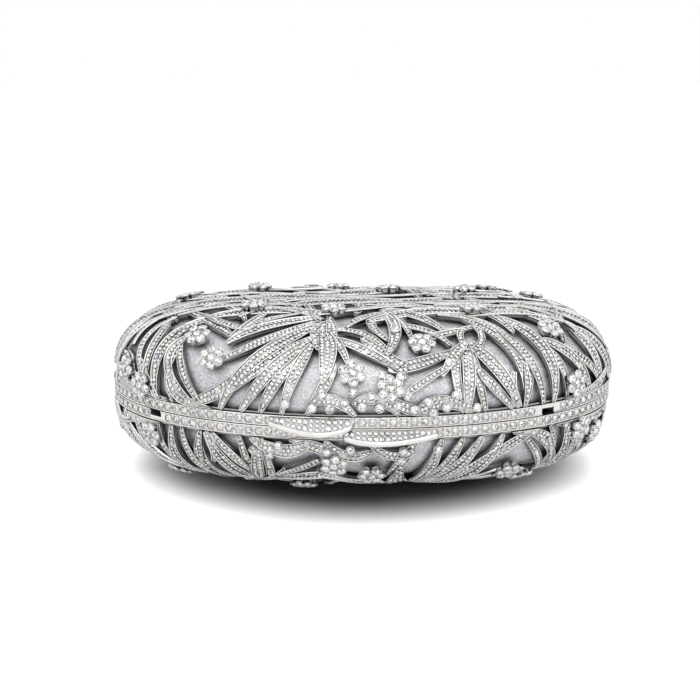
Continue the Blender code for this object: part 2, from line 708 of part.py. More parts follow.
def place_floret(name, shares, matrix, resting):
    """A floret on its pad, square to the dome or, where the bag rests on it, level."""
    place = (shares[0] * SHEET_HALF_LENGTH, shares[1] * SHEET_HALF_DEPTH)
    seat = sheet_to_dome(place, 0.0)
    normal = dome_normal(place)
    if resting:
        slope = math.hypot(normal.x, normal.y) / normal.z
        seat.z += SEAT_GAP + slope * PAD_RADIUS
        mesh = floret_mesh(HALF_THICKNESS - seat.z)
        local = Matrix.Translation(seat)
    else:
        mesh = floret_mesh(FLORET_HEIGHT)
        spin = Vector((0, 0, 1)).rotation_difference(normal).to_matrix().to_4x4()
        local = Matrix.Translation(seat + normal * SEAT_GAP) @ spin
    link_part(name, turned(mesh, matrix @ local), CRYSTAL_LOOK)


for half, matrix in HALVES:
    number = 0
    for row in FLORET_SHARES:
        for shares in both_ways(row):
            number += 1
            place_floret(f"{half}_floret_{number:02d}", shares, matrix, False)
    for shares in REST_FLORET_SHARES:
        number += 1
        place_floret(f"{half}_floret_{number:02d}", shares, matrix, True)


# Thumb tabs on the near rims

def tab_mesh(ends, top_root, lip_top, foot_root):
    """Crescent tab along the near rim: stones' slope above, smooth lip below."""
    rings = []
    for station in range(TAB_STATIONS):
        way = station / (TAB_STATIONS - 1)
        place = ends[0] + (ends[1] - ends[0]) * way
        point, inwards, _ = rim_axes(place, -1, 0.0)
        turn = math.pi * (TAB_END_SHARE + (1 - 2 * TAB_END_SHARE) * way)
        swell = math.sin(turn) ** TAB_FULLNESS_SHARE
        reach = SEAT_GAP + TAB_ROOT + (TAB_REACH - TAB_ROOT) * swell
        lip = top_root + (lip_top - top_root) * swell
        foot = foot_root + (lip_top - TAB_LIP_HEIGHT - foot_root) * swell
        section = ((SEAT_GAP, top_root), (reach, lip), (reach, min(lip - RIM_LIP, foot)),
                   (reach - RIM_LIP, foot), (SEAT_GAP + TAB_ROOT, foot_root), (SEAT_GAP, foot_root))
        rings.append([point - inwards * out + Vector((0, 0, level)) for out, level in section])
    return loft(rings)


upper_tab = tab_mesh(UPPER_TAB_ENDS, RIM_HEIGHT - RIM_LIP, -UPPER_TAB_DROP + TAB_LIP_HEIGHT, SEAT_GAP)
link_part("upper_thumb_tab", upper_tab, SILVER_LOOK)
lower_tab = tab_mesh(LOWER_TAB_ENDS, -RIM_LIP, -LOWER_TAB_DROP + TAB_LIP_HEIGHT, -RIM_HEIGHT)
link_part("lower_thumb_tab", lower_tab, SILVER_LOOK)


# Rivets

def rivet(name, place, height, inset, shank):
    """Round-headed rivet in the near rim's inner face, its head inwards."""
    point, inwards, _ = rim_axes(place, -1, inset)
    point = point + Vector((0, 0, height))
    levels = ((RIVET_RADIUS, -shank), (RIVET_RADIUS, 0.0), (RIVET_HEAD_RADIUS, 0.0),
              (RIVET_HEAD_RADIUS, RIVET_HEAD_HEIGHT / 2), (RIVET_RADIUS, RIVET_HEAD_HEIGHT))
    turns = [2 * math.pi * index / RIVET_POINTS for index in range(RIVET_POINTS)]
    mesh = loft([[Vector((radius * math.cos(turn), radius * math.sin(turn), level)) for turn in turns]
                 for radius, level in levels])
    spin = Vector((0, 0, 1)).rotation_difference(inwards).to_matrix().to_4x4()
    mesh.transform(Matrix.Translation(point) @ spin)
    link_part(name, mesh, STEEL_LOOK)


def rivet_hole(name, place, height, inset, depth):
    """Cutter for a rivet's hole, from a little inside the inset face outwards."""
    point, inwards, _ = rim_axes(place, -1, inset)
    point = point + Vector((0, 0, height))
    mesh = cylinder_mesh(point - inwards * depth, point + inwards * CUT_OVERRUN,
                         RIVET_RADIUS + RIVET_CLEARANCE, RIVET_POINTS)
    return make_cutter(name, mesh)


def lining_reach(place, level):
    """Distance from the rim's outer line to the lining's inner face at a level, on the near side."""
    angle = rim_angle(place, -1)
    edge = rim_point(angle, 0.0, 0.0).length
    rows = [dome_point(angle, share, LINING_INSET + LINING_THICKNESS) for share in SHELL_ROW_SHARES[::-1]]
    heights = [row.z for row in rows]
    reaches = [edge - math.hypot(row.x, row.y) for row in rows]
    return float(np.interp(level, heights, reaches))


# Striker on the upper rim, inside, clear of the lining as deep as the catch goes
bar_top = -STRIKER_DROP - SEAT_GAP - RIM_LIP
bar_foot = bar_top - BRACKET_BAR_HEIGHT
striker_inset = max(RIM_THICKNESS, lining_reach(CLASP_PLACE, -bar_foot)) + STRIKER_GAP
middle, inwards, along = rim_axes(CLASP_PLACE, -1, striker_inset)
striker_top = RIM_HEIGHT - RIM_LIP / 2
blade = box_mesh((-STRIKER_WIDTH / 2, 0, -STRIKER_DROP), (STRIKER_WIDTH / 2, STRIKER_THICKNESS, striker_top))
clasp_frame = Matrix((along, inwards, Vector((0, 0, 1)))).transposed().to_4x4()
blade.transform(Matrix.Translation(middle) @ clasp_frame)
striker = link_part("striker_tongue", blade, STEEL_LOOK)
bevel = striker.modifiers.new("edges", "BEVEL")
bevel.width = STRIKER_THICKNESS / 4
bevel.segments = 1

rivet_height = RIM_HEIGHT / 2
for side_name, sign in (("left", -1), ("right", 1)):
    place = CLASP_PLACE + sign * STRIKER_RIVET_SPACING / 2
    hole = rivet_hole("striker_hole_" + side_name, place, rivet_height, striker_inset + STRIKER_THICKNESS,
                      striker_inset + STRIKER_THICKNESS - RIM_THICKNESS + RIVET_DEPTH)
    combine(striker, hole, "DIFFERENCE")
    combine(rims["upper"], hole, "DIFFERENCE")
    rivet("striker_rivet_" + side_name, place, rivet_height, striker_inset + STRIKER_THICKNESS + RIVET_CLEARANCE,
          striker_inset + STRIKER_THICKNESS - RIM_THICKNESS + RIVET_DEPTH / 2)

# Catch bracket on the lower rim: two arms and a bar that passes below the striker
arm_start = STRIKER_WIDTH / 2 + BRACKET_SIDE_GAP
arm_end = arm_start + BRACKET_ARM_WIDTH
arm_top = -RIM_LIP
outline = ((-arm_end, bar_foot), (arm_end, bar_foot), (arm_end, arm_top), (arm_start, arm_top),
           (arm_start, bar_top), (-arm_start, bar_top), (-arm_start, arm_top), (-arm_end, arm_top))
bracket_mesh = loft([[Vector((x, depth, z)) for x, z in outline] for depth in (0.0, BRACKET_THICKNESS)])
bracket_mesh.transform(Matrix.Translation(middle) @ clasp_frame)
bracket = link_part("catch_bracket", bracket_mesh, STEEL_LOOK)
for side_name, sign in (("left", -1), ("right", 1)):
    place = CLASP_PLACE + sign * (arm_start + arm_end) / 2
    hole = rivet_hole("bracket_hole_" + side_name, place, -rivet_height, striker_inset + BRACKET_THICKNESS,
                      striker_inset + BRACKET_THICKNESS - RIM_THICKNESS + RIVET_DEPTH)
    combine(bracket, hole, "DIFFERENCE")
    combine(rims["lower"], hole, "DIFFERENCE")
    rivet("bracket_rivet_" + side_name, place, -rivet_height, striker_inset + BRACKET_THICKNESS + RIVET_CLEARANCE,
          striker_inset + BRACKET_THICKNESS - RIM_THICKNESS + RIVET_DEPTH / 2)

# Catch spring: a strip that rises from the bar and leans on the striker
foot_face = BRACKET_THICKNESS + SEAT_GAP
lean_face = STRIKER_THICKNESS + SEAT_GAP
bend_foot = bar_top + RIM_LIP / 2
bend_top = bend_foot + RIM_LIP
strip_top = -RIM_LIP
strip = ((foot_face, bar_foot), (foot_face, bend_foot), (lean_face, bend_top), (lean_face, strip_top - RIM_LIP),
         (lean_face + RIM_LIP, strip_top))
strip_line = [(face, level) for face, level in strip] + [(face + SPRING_THICKNESS, level)
                                                        for face, level in reversed(strip)]
spring_mesh = loft([[Vector((x, face, level)) for face, level in strip_line]
                    for x in (-SPRING_WIDTH / 2, SPRING_WIDTH / 2)])
spring_mesh.transform(Matrix.Translation(middle) @ clasp_frame)
link_part("catch_spring", spring_mesh, STEEL_LOOK)


# Chain slots, lugs and rings: left ones in the lower half, right ones in the upper half

def chain_fitting(side_name, place, half, sign):
    """Slot through the rim, and a lug inside it that carries a swinging ring."""
    foot = SEAT_GAP / 2 * sign
    slot_edge = SLOT_HEIGHT * sign
    low, high = sorted((foot - CUT_OVERRUN * sign, slot_edge))
    cut = oriented_box(place, -1, -CUT_OVERRUN, RIM_THICKNESS + CUT_OVERRUN, SLOT_LENGTH, low, high)
    combine(rims[half], make_cutter("chain_slot_" + side_name, cut), "DIFFERENCE")

    lug_place = place + LUG_SLOT_SPACING * (1 if place < 0 else -1)
    point, inwards, along = rim_axes(lug_place, -1, RIM_THICKNESS + SEAT_GAP)
    height = (RIM_HEIGHT + SEAT_GAP / 2) / 2 * sign
    frame = Matrix.Translation(point) @ Matrix((along, inwards, Vector((0, 0, 1)))).transposed().to_4x4()
    lug_radius = LUG_BORE_RADIUS + LUG_WALL
    body = box_mesh((-LUG_WIDTH / 2, 0.0, height - lug_radius), (LUG_WIDTH / 2, LUG_REACH, height + lug_radius))
    lug = link_part("chain_lug_" + side_name, body, SILVER_LOOK)
    nose = cylinder_mesh((-LUG_WIDTH / 2, LUG_REACH, height), (LUG_WIDTH / 2, LUG_REACH, height),
                         lug_radius, KNUCKLE_POINTS)
    bore = cylinder_mesh((-LUG_WIDTH, LUG_REACH, height), (LUG_WIDTH, LUG_REACH, height),
                         LUG_BORE_RADIUS, KNUCKLE_POINTS)
    for mesh in (body, nose, bore):
        mesh.transform(frame)
    combine(lug, make_cutter("lug_nose_" + side_name, nose), "UNION")
    combine(lug, make_cutter("lug_bore_" + side_name, bore), "DIFFERENCE")

    curve = bpy.data.curves.new("chain_ring_" + side_name, "CURVE")
    curve.dimensions = "3D"
    curve.bevel_depth = RING_WIRE_RADIUS
    curve.bevel_resolution = 1
    spline = curve.splines.new("POLY")
    spline.points.add(RING_POINTS - 1)
    spline.use_cyclic_u = True
    for index, control in enumerate(spline.points):
        turn = 2 * math.pi * (index + 0.5) / RING_POINTS
        control.co = (RING_RADIUS * math.sin(turn), 0.0, RING_RADIUS * (math.cos(turn) - 1), 1.0)
    ring = bpy.data.objects.new("chain_ring_" + side_name, curve)
    curve.materials.append(make_material("chain_ring_" + side_name, *SILVER_LOOK))
    ring.matrix_world = frame @ Matrix.Translation((0.0, LUG_REACH, height))
    parts.objects.link(ring)


chain_fitting("left", LEFT_SLOT_SHARE * HALF_LENGTH, "lower", -1)
chain_fitting("right", RIGHT_SLOT_SHARE * HALF_LENGTH, "upper", 1)


# Hinge outside the far rim, its axis on the parting plane

hinge_face = HALF_DEPTH + SEAT_GAP
hinge_axis = hinge_face + KNUCKLE_RADIUS
knuckle_pitch = HINGE_LENGTH / KNUCKLE_COUNT
knuckle_reach = KNUCKLE_RADIUS + SEAT_GAP


def knuckle_span(index):
    """Start and end of a knuckle along X."""
    start = -HINGE_LENGTH / 2 + index * knuckle_pitch
    return start + KNUCKLE_GAP / 2, start + knuckle_pitch - KNUCKLE_GAP / 2


def hinge_leaf(name, sign, own_knuckles):
    """Comb-shaped plate and knuckles of one hinge leaf, its inner face following the rim."""
    top = (RIM_HEIGHT - SEAT_GAP) * sign
    root = knuckle_reach * sign
    foot = SEAT_GAP / 2 * sign
    outline = [(HINGE_LENGTH / 2, top), (-HINGE_LENGTH / 2, top), (-HINGE_LENGTH / 2, root)]
    for index in own_knuckles:
        start, end = knuckle_span(index)
        outline += [(start, root), (start, foot), (end, foot), (end, root)]
    outline.append((HINGE_LENGTH / 2, root))
    slab_back = hinge_face + HINGE_PLATE_THICKNESS
    slab = loft([[Vector((x, depth, z)) for x, z in outline] for depth in (HALF_DEPTH - CUT_OVERRUN, slab_back)])
    leaf = link_part(name, slab, SILVER_LOOK)
    combine(leaf, rim_clearance, "DIFFERENCE")
    for index in own_knuckles:
        start, end = knuckle_span(index)
        barrel = cylinder_mesh((start, hinge_axis, 0.0), (end, hinge_axis, 0.0), KNUCKLE_RADIUS, KNUCKLE_POINTS)
        combine(leaf, make_cutter(f"{name}_barrel_{index}", barrel), "UNION")
    half_run = HINGE_LENGTH / 2 + CUT_OVERRUN
    bore = cylinder_mesh((-half_run, hinge_axis, 0.0), (half_run, hinge_axis, 0.0),
                         PIN_RADIUS + PIN_CLEARANCE, KNUCKLE_POINTS)
    combine(leaf, make_cutter(name + "_bore", bore), "DIFFERENCE")


clearance_turns = [2 * math.pi * index / RIM_SEGMENTS for index in range(RIM_SEGMENTS)]
clearance_mesh = loft([[rim_point(turn, -SEAT_GAP, level) for turn in clearance_turns]
                       for level in (-RIM_HEIGHT - CUT_OVERRUN, RIM_HEIGHT + CUT_OVERRUN)])
rim_clearance = make_cutter("rim_clearance", clearance_mesh)
hinge_leaf("lower_hinge_leaf", -1, (0, 2, 4))
hinge_leaf("upper_hinge_leaf", 1, (1, 3))

pin_end = HINGE_LENGTH / 2 + SEAT_GAP
pin_levels = ((PIN_HEAD_RADIUS, -pin_end - PIN_HEAD_LENGTH), (PIN_HEAD_RADIUS, -pin_end), (PIN_RADIUS, -pin_end),
              (PIN_RADIUS, pin_end), (PIN_HEAD_RADIUS, pin_end), (PIN_HEAD_RADIUS, pin_end + PIN_HEAD_LENGTH))
pin_turns = [2 * math.pi * index / KNUCKLE_POINTS for index in range(KNUCKLE_POINTS)]
pin_mesh = loft([[Vector((level, hinge_axis + radius * math.cos(turn), radius * math.sin(turn)))
                  for turn in pin_turns] for radius, level in pin_levels])
link_part("hinge_pin", pin_mesh, STEEL_LOOK)


# Stand the bag on the origin: bottom centre of the whole bag

bpy.context.view_layer.update()
corners = [part.matrix_world @ Vector(corner) for part in parts.objects for corner in part.bound_box]
centre_x = (min(corner.x for corner in corners) + max(corner.x for corner in corners)) / 2
centre_y = (min(corner.y for corner in corners) + max(corner.y for corner in corners)) / 2
standing = Vector((-centre_x, -centre_y, HALF_THICKNESS))
for item in list(parts.objects) + list(cutters.objects):
    item.location += standing
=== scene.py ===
"""Looks of the oval crystal evening handbag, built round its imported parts. Metres, +Z up."""
import itertools
import math

import bmesh
import bpy
import numpy as np
from mathutils import Matrix, Vector


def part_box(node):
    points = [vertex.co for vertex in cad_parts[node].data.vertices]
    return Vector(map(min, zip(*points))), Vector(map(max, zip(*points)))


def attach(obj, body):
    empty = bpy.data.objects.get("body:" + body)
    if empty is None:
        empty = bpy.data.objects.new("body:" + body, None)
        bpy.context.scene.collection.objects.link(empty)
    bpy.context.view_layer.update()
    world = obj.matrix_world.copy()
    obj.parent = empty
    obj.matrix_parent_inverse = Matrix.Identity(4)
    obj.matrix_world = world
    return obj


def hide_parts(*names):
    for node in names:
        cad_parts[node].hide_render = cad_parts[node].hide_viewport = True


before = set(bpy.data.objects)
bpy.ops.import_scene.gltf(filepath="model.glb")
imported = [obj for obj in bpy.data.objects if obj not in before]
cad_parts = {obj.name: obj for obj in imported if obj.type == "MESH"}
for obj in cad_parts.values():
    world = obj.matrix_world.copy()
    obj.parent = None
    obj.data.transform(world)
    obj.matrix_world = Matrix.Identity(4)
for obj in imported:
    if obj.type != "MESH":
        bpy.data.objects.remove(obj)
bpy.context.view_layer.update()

MM = 0.001
rng = np.random.default_rng(11)

# Whole bag, as in the part
HALF_LENGTH = 100.0 * MM
HALF_DEPTH = 59.5 * MM
HALF_THICKNESS = 35.6 * MM
PLAN_POWER_SHARE = 2.06
END_FULLNESS_SHARE = 5.2
SIDE_FULLNESS_SHARE = 2.5
DOME_FULLNESS_SHARE = 2.9
SEAT_GAP = 0.3 * MM

# Shells and rim, as in the part
OPENWORK_THICKNESS = 1.7 * MM
BACKING_SETBACK = 1.0 * MM
BACKING_THICKNESS = 0.9 * MM
LINING_THICKNESS = 0.7 * MM
RIM_HEIGHT = 4.2 * MM
RIM_LEDGE = 1.0 * MM
RIM_LIP = 0.6 * MM
LINING_INSET = OPENWORK_THICKNESS + BACKING_SETBACK + BACKING_THICKNESS + SEAT_GAP
RIM_THICKNESS = LINING_INSET + LINING_THICKNESS + RIM_LEDGE
SLOT_LENGTH = 5.5 * MM
SLOT_HEIGHT = 2.6 * MM
SLOT_SHARES = {"lower": -0.776, "upper": 0.689}
FLORET_HEIGHT = 2.1 * MM
OPENWORK_CROWN = HALF_THICKNESS - FLORET_HEIGHT - SEAT_GAP
SHELL_FOOT = RIM_HEIGHT + SEAT_GAP

# Leaves, as in the part: root, bend, tip and width, as shares of the sheet
LEAF_WIDTH = 4.1 * MM
LEAF_TIP_WIDTH = 1.5 * MM
RIM_REACH_SHARE = 0.86
LEAF_PEAK_SHARE = 0.8
LEAF_FULLNESS_SHARE = 0.75
LEAF_SHARES = (
    # The spray at the near side's middle
    (-0.14, -0.34, -0.31, -0.44, -0.42, -0.56, 0.95),
    (-0.14, -0.38, -0.30, -0.60, -0.44, -0.65, 1.05),
    (-0.13, -0.43, -0.29, -0.68, -0.44, -0.74, 1.15),
    (-0.14, -0.53, -0.38, -0.88, -0.64, -0.75, 1.25),
    (-0.16, -0.58, -0.28, -0.78, -0.44, -0.91, 1.10),
    (-0.16, -0.60, -0.24, -0.78, -0.37, -0.94, 1.20),
    (-0.15, -0.60, -0.19, -0.76, -0.27, -0.90, 1.05),
    (-0.12, -0.48, -0.08, -0.68, -0.13, -0.84, 1.60),
    (-0.08, -0.72, -0.11, -0.86, -0.20, -0.98, 1.00),
    (-0.09, -0.52, -0.06, -0.64, -0.04, -0.74, 0.70),
    (-0.09, -0.47, 0.01, -0.46, 0.08, -0.66, 0.85),
    (-0.08, -0.56, 0.00, -0.64, 0.10, -0.75, 0.90),
    (-0.09, -0.38, -0.17, -0.48, -0.13, -0.64, 0.90),
    (-0.09, -0.58, -0.09, -0.47, -0.10, -0.32, 1.00),
    # The scrolls at the left end
    (-0.56, -0.46, -0.70, -0.55, -0.58, -0.78, 0.95),
    (-0.59, -0.53, -0.68, -0.62, -0.69, -0.72, 0.70),
    (-0.64, -0.62, -0.70, -0.71, -0.54, -0.83, 1.00),
    (-0.58, -0.50, -0.60, -0.66, -0.54, -0.77, 0.90),
    (-0.53, -0.35, -0.64, -0.44, -0.75, -0.65, 1.15),
    (-0.62, -0.22, -0.80, -0.36, -0.70, -0.58, 0.90),
    (-0.64, -0.27, -0.67, -0.46, -0.72, -0.53, 0.90),
    (-0.53, -0.16, -0.68, -0.10, -0.78, -0.32, 0.90),
    (-0.50, -0.29, -0.60, -0.41, -0.67, -0.50, 1.10),
    (-0.72, -0.10, -0.80, -0.24, -0.93, -0.30, 1.10),
    (-0.96, -0.24, -0.88, -0.48, -0.70, -0.68, 0.95),
    (-0.75, -0.45, -0.75, -0.60, -0.74, -0.66, 1.10),
    (-0.85, -0.26, -0.77, -0.38, -0.80, -0.52, 0.90),
    # The left shoulder
    (-0.54, -0.12, -0.43, -0.06, -0.37, -0.38, 0.90),
    (-0.52, -0.25, -0.42, -0.46, -0.35, -0.46, 0.95),
    (-0.60, -0.14, -0.46, -0.40, -0.40, -0.52, 1.00),
    (-0.36, -0.48, -0.33, -0.39, -0.20, -0.30, 0.90),
    (-0.41, -0.52, -0.34, -0.42, -0.31, -0.26, 0.90),
    (-0.35, -0.15, -0.23, -0.22, -0.12, -0.37, 1.05),
    (-0.32, -0.04, -0.22, -0.10, -0.16, -0.38, 0.90),
    (-0.20, -0.04, -0.18, -0.14, -0.13, -0.40, 0.90),
    # The small spray near the crown
    (0.07, -0.26, -0.01, -0.32, -0.05, -0.46, 1.00),
    (0.07, -0.26, -0.02, -0.38, 0.08, -0.57, 0.90),
    (0.06, -0.22, 0.14, -0.56, 0.06, -0.70, 1.10),
    (0.07, -0.24, 0.12, -0.34, 0.15, -0.56, 0.80),
    (0.07, -0.23, 0.15, -0.26, 0.25, -0.49, 1.00),
    (0.10, -0.42, 0.19, -0.44, 0.27, -0.60, 0.95),
    (0.07, -0.19, 0.16, -0.08, 0.25, -0.27, 0.90),
    (0.00, -0.55, 0.05, -0.69, 0.14, -0.74, 1.10),
    (0.08, -0.76, 0.17, -0.74, 0.29, -0.63, 1.20),
    (0.14, -0.88, 0.19, -0.82, 0.29, -0.70, 0.75),
    (0.09, -0.91, 0.14, -0.96, 0.26, -0.96, 1.05),
    (-0.18, -0.93, -0.10, -0.86, -0.02, -0.95, 1.05),
    (-0.03, -0.94, 0.04, -0.86, 0.13, -0.96, 1.05),
    (0.03, -0.66, 0.08, -0.70, 0.14, -0.80, 0.90),
    (0.19, -0.97, 0.23, -0.86, 0.36, -0.82, 1.30),
    # The spray at the near side's right
    (0.32, -0.47, 0.25, -0.51, 0.14, -0.59, 0.80),
    (0.32, -0.58, 0.28, -0.65, 0.25, -0.78, 1.05),
    (0.32, -0.58, 0.24, -0.73, 0.34, -0.87, 0.95),
    (0.32, -0.59, 0.33, -0.80, 0.38, -0.93, 1.20),
    (0.33, -0.60, 0.36, -0.80, 0.45, -0.90, 0.90),
    (0.33, -0.57, 0.39, -0.70, 0.53, -0.76, 1.15),
    (0.36, -0.72, 0.42, -0.80, 0.55, -0.84, 0.85),
    (0.32, -0.62, 0.27, -0.46, 0.36, -0.44, 0.65),
    (0.35, -0.44, 0.40, -0.56, 0.33, -0.64, 0.70),
    (0.29, -0.28, 0.47, -0.56, 0.52, -0.71, 1.15),
    (0.43, -0.46, 0.50, -0.60, 0.66, -0.75, 0.95),
    (0.49, -0.69, 0.48, -0.78, 0.57, -0.82, 0.80),
    (0.52, -0.63, 0.56, -0.72, 0.59, -0.81, 1.05),
    (0.44, -0.31, 0.59, -0.53, 0.65, -0.66, 1.20),
    (0.56, -0.50, 0.65, -0.54, 0.76, -0.65, 0.95),
    (0.58, -0.47, 0.66, -0.48, 0.85, -0.51, 0.90),
    (0.64, -0.49, 0.75, -0.44, 0.91, -0.40, 0.90),
    # The right shoulder and end
    (0.48, -0.18, 0.64, -0.28, 0.66, -0.43, 1.00),
    (0.24, -0.30, 0.35, -0.31, 0.45, -0.47, 1.05),
    (0.30, -0.10, 0.40, -0.20, 0.48, -0.46, 1.05),
    (0.47, -0.09, 0.61, -0.12, 0.72, -0.29, 1.00),
    (0.70, -0.28, 0.78, -0.36, 0.89, -0.38, 1.05),
    (0.90, -0.30, 0.90, -0.48, 0.74, -0.65, 1.00),
    # The long leaves over the crown
    (-0.95, -0.14, -0.80, -0.02, -0.58, -0.02, 1.31),
    (-0.92, -0.30, -0.76, -0.18, -0.54, -0.14, 1.31),
    (-0.66, -0.08, -0.48, 0.06, -0.26, 0.02, 1.31),
    (-0.62, -0.20, -0.44, -0.08, -0.22, -0.12, 1.31),
    (-0.50, -0.30, -0.34, -0.20, -0.10, -0.28, 1.25),
    (-0.28, -0.04, -0.12, 0.10, 0.08, 0.06, 1.31),
    (-0.24, -0.14, -0.06, -0.02, 0.14, -0.05, 1.31),
    (-0.14, -0.30, 0.04, -0.10, 0.24, -0.16, 1.31),
    (0.02, -0.38, 0.20, -0.20, 0.38, -0.28, 1.25),
    (0.10, -0.04, 0.28, -0.12, 0.46, -0.04, 1.31),
    (0.24, -0.14, 0.42, -0.22, 0.60, -0.12, 1.31),
    (0.34, -0.32, 0.52, -0.18, 0.72, -0.24, 1.31),
    (0.52, -0.02, 0.70, -0.10, 0.90, -0.02, 1.25),
    (0.64, -0.12, 0.80, -0.20, 0.96, -0.12, 1.25),
    (0.72, -0.24, 0.84, -0.28, 0.95, -0.22, 1.12),
    (-0.40, -0.32, -0.30, -0.16, -0.34, 0.02, 1.00),
    (-0.02, -0.26, 0.02, -0.10, -0.04, 0.08, 1.00),
    (0.42, -0.28, 0.44, -0.12, 0.36, 0.04, 1.00),
    (0.62, -0.30, 0.70, -0.16, 0.66, 0.02, 1.00),
    (-0.62, -0.24, -0.70, -0.10, -0.66, 0.06, 1.00),
)
FLORET_SHARES = (
    (-0.52, -0.48), (-0.47, -0.64), (-0.83, -0.41), (-0.09, -0.24), (-0.03, -0.79), (0.18, -0.61),
)
REST_FLORET_SHARES = ((-0.36, -0.20), (0.36, -0.26), (0.36, 0.20), (-0.36, 0.26))

# Florets and single stones that only the looks have
EXTRA_FLORET_SHARES = ((-0.79, -0.55), (0.09, -0.86), (0.61, -0.38), (0.75, -0.58))
CROWN_FLORET_SHARES = ((-0.62, 0.20), (0.60, 0.20), (0.44, 0.36), (-0.08, 0.30))
SINGLE_SHARES = ((0.29, -0.92), (0.31, -0.86), (-0.26, -0.91), (-0.13, -0.88), (0.10, -0.50), (0.88, -0.20))
SMALL_SINGLE_SHARES = (
    (-0.17, -0.945), (-0.13, -0.89), (-0.11, -0.955), (-0.06, -0.93), (-0.03, -0.88), (0.00, -0.95),
    (0.03, -0.90), (0.06, -0.955), (0.12, -0.94), (0.15, -0.89), (0.18, -0.95), (0.22, -0.91),
    (0.25, -0.955), (0.06, -0.80), (0.12, -0.80), (0.40, -0.89),
)
LOWER_SINGLE_SHARES = ((0.37, -0.86), (0.31, -0.89), (0.12, -0.93), (0.04, -0.95), (-0.14, -0.93))

# Thumb tabs, as in the part
TAB_REACH = 3.7 * MM
TAB_LIP_HEIGHT = 1.7 * MM
TAB_ENDS = {"upper": (-33.5 * MM, -3.4 * MM), "lower": (-6.6 * MM, 27.0 * MM)}
UPPER_TAB_DROP = 2.1 * MM
LOWER_TAB_DROP = 5.4 * MM
TAB_FULLNESS_SHARE = 0.7

# Looks of the thumb tabs: thin ends, skewed swell, tones round the section with painted shade at the root
# and underneath, softened edges and stones
TAB_ROOT = 0.2 * MM
TAB_SKEW = 1.35
TAB_STATIONS = 61
TAB_MARGIN = 1.5 * MM
# Tones round the tab's section: the dark ones at the root and underneath are painted shade.
TAB_TONES = (0.4, 0.45, 0.95, 0.95, 0.8, 0.6, 0.4, 0.4)
TAB_SOFTENING = ((0.3 * MM, 0.1 * MM), (0.08 * MM, -0.12 * MM))
TAB_BEVEL = 0.1 * MM
SHORTEST_SLOPE = 1.0 * MM
SLOPE_LEAN = 0.4
TAB_PITCH = 2.1 * MM
TAB_STONE = 2.45 * MM
TAB_STONE_RISE = 0.02 * MM
TAB_STONE_FIT = 0.95
TAB_STONE_TILT = 0.05

# Leaf section: distance from the leaf's edge, lift over the dome and tone; the dark tones on the low sides
# are painted shade
BEAD_SECTION = (
    (0.20 * MM, -1.70 * MM, 0.20),
    (0.02 * MM, -0.90 * MM, 0.32),
    (0.00 * MM, -0.10 * MM, 0.84),
    (0.12 * MM, 0.13 * MM, 1.00),
    (0.32 * MM, 0.14 * MM, 1.00),
    (0.45 * MM, 0.00 * MM, 0.85),
    (0.50 * MM, -0.38 * MM, 0.80),
)
BEAD_WIDTH = 0.50 * MM
LEAF_STATIONS = 30
LEAF_LEVELS = (0.12 * MM, -0.30 * MM, 0.30 * MM, -0.12 * MM, 0.22 * MM, -0.22 * MM, 0.02 * MM)
LEAF_BANK = 0.16
LEAF_ARCH = 0.20 * MM
LEAST_WIDTH = 0.05 * MM
BEADS_ACROSS = 2.1
LOOP_STATIONS = 12
CHANNEL_STATIONS = 81

# Stones: diameters, seats and fits, and the gaps between them
PAVE_DIAMETER = 1.75 * MM
PAVE_PITCH = 1.68 * MM
SMALLEST_PAVE = 0.85 * MM
PAVE_SEAT = -0.14 * MM
PAVE_FIT = 0.98
PAVE_CHANNEL = 0.92
PAVE_ROWS = (0.93, 0.2)
PAVE_ENDS = (0.6, 0.4)
PAVE_SPACING = 0.80
PAVE_REACH_SHARE = 0.985
PAVE_TILT = 0.10
FLORET_STONE = 3.5 * MM
FLORET_RING_RADIUS = 3.40 * MM
PETAL_DROP = 0.15 * MM
PETAL_TILT = 0.16
FLORET_HEADING = (1.0, 0.05, 0.0)
FLORET_STONE_FIT = 0.97
FLORET_STONE_TILT = 0.02
SINGLE_STONE = 3.3 * MM
SINGLE_RISE = 0.75 * MM
CLAW_RADIUS = 0.26 * MM
CLAW_REACH = 0.96
CLAW_RISE = 0.10 * MM
PAD_RADIUS = 3.4 * MM
FLORET_CLEARANCE = 4.9 * MM
SINGLE_CLEARANCE = 1.95 * MM
RIM_STONE = 2.95 * MM
RIM_PITCH = 3.75 * MM
RIM_STONE_DEPTH = 0.03 * MM
RIM_STONE_FIT = 0.98
RIM_STONE_TILT = 0.015
SLOT_CLEARANCE = 0.35
HINGE_COVER = 21.0 * MM

# Painted reflections on the facets of a table, a crown and a girdle: shares of bright and of middle ones,
# then the tones of bright, middle and dark ones
FACET_REFLECTION_TONES = (
    (0.62, 0.20, 1.00, 0.64, 0.28),
    (0.58, 0.24, 1.00, 0.68, 0.26),
    (0.34, 0.36, 0.95, 0.55, 0.20),
)
DIMMEST_STONE = 0.80
DIMMING_POWER = 0.7

# Cut stones: rings of radius and height for a radius of 1, and heights of their middle points
SMALL_RINGS = ((0.76, 0.32), (1.0, 0.0), (0.5, -0.5))
SMALL_MIDDLE = 0.34
TABLE_RADIUS = 0.56
TABLE_HEIGHT = 0.40
STAR_RING = (0.80, 0.24)
BRILLIANT_MIDDLE = 0.42
BRILLIANT_FOOT = -0.80
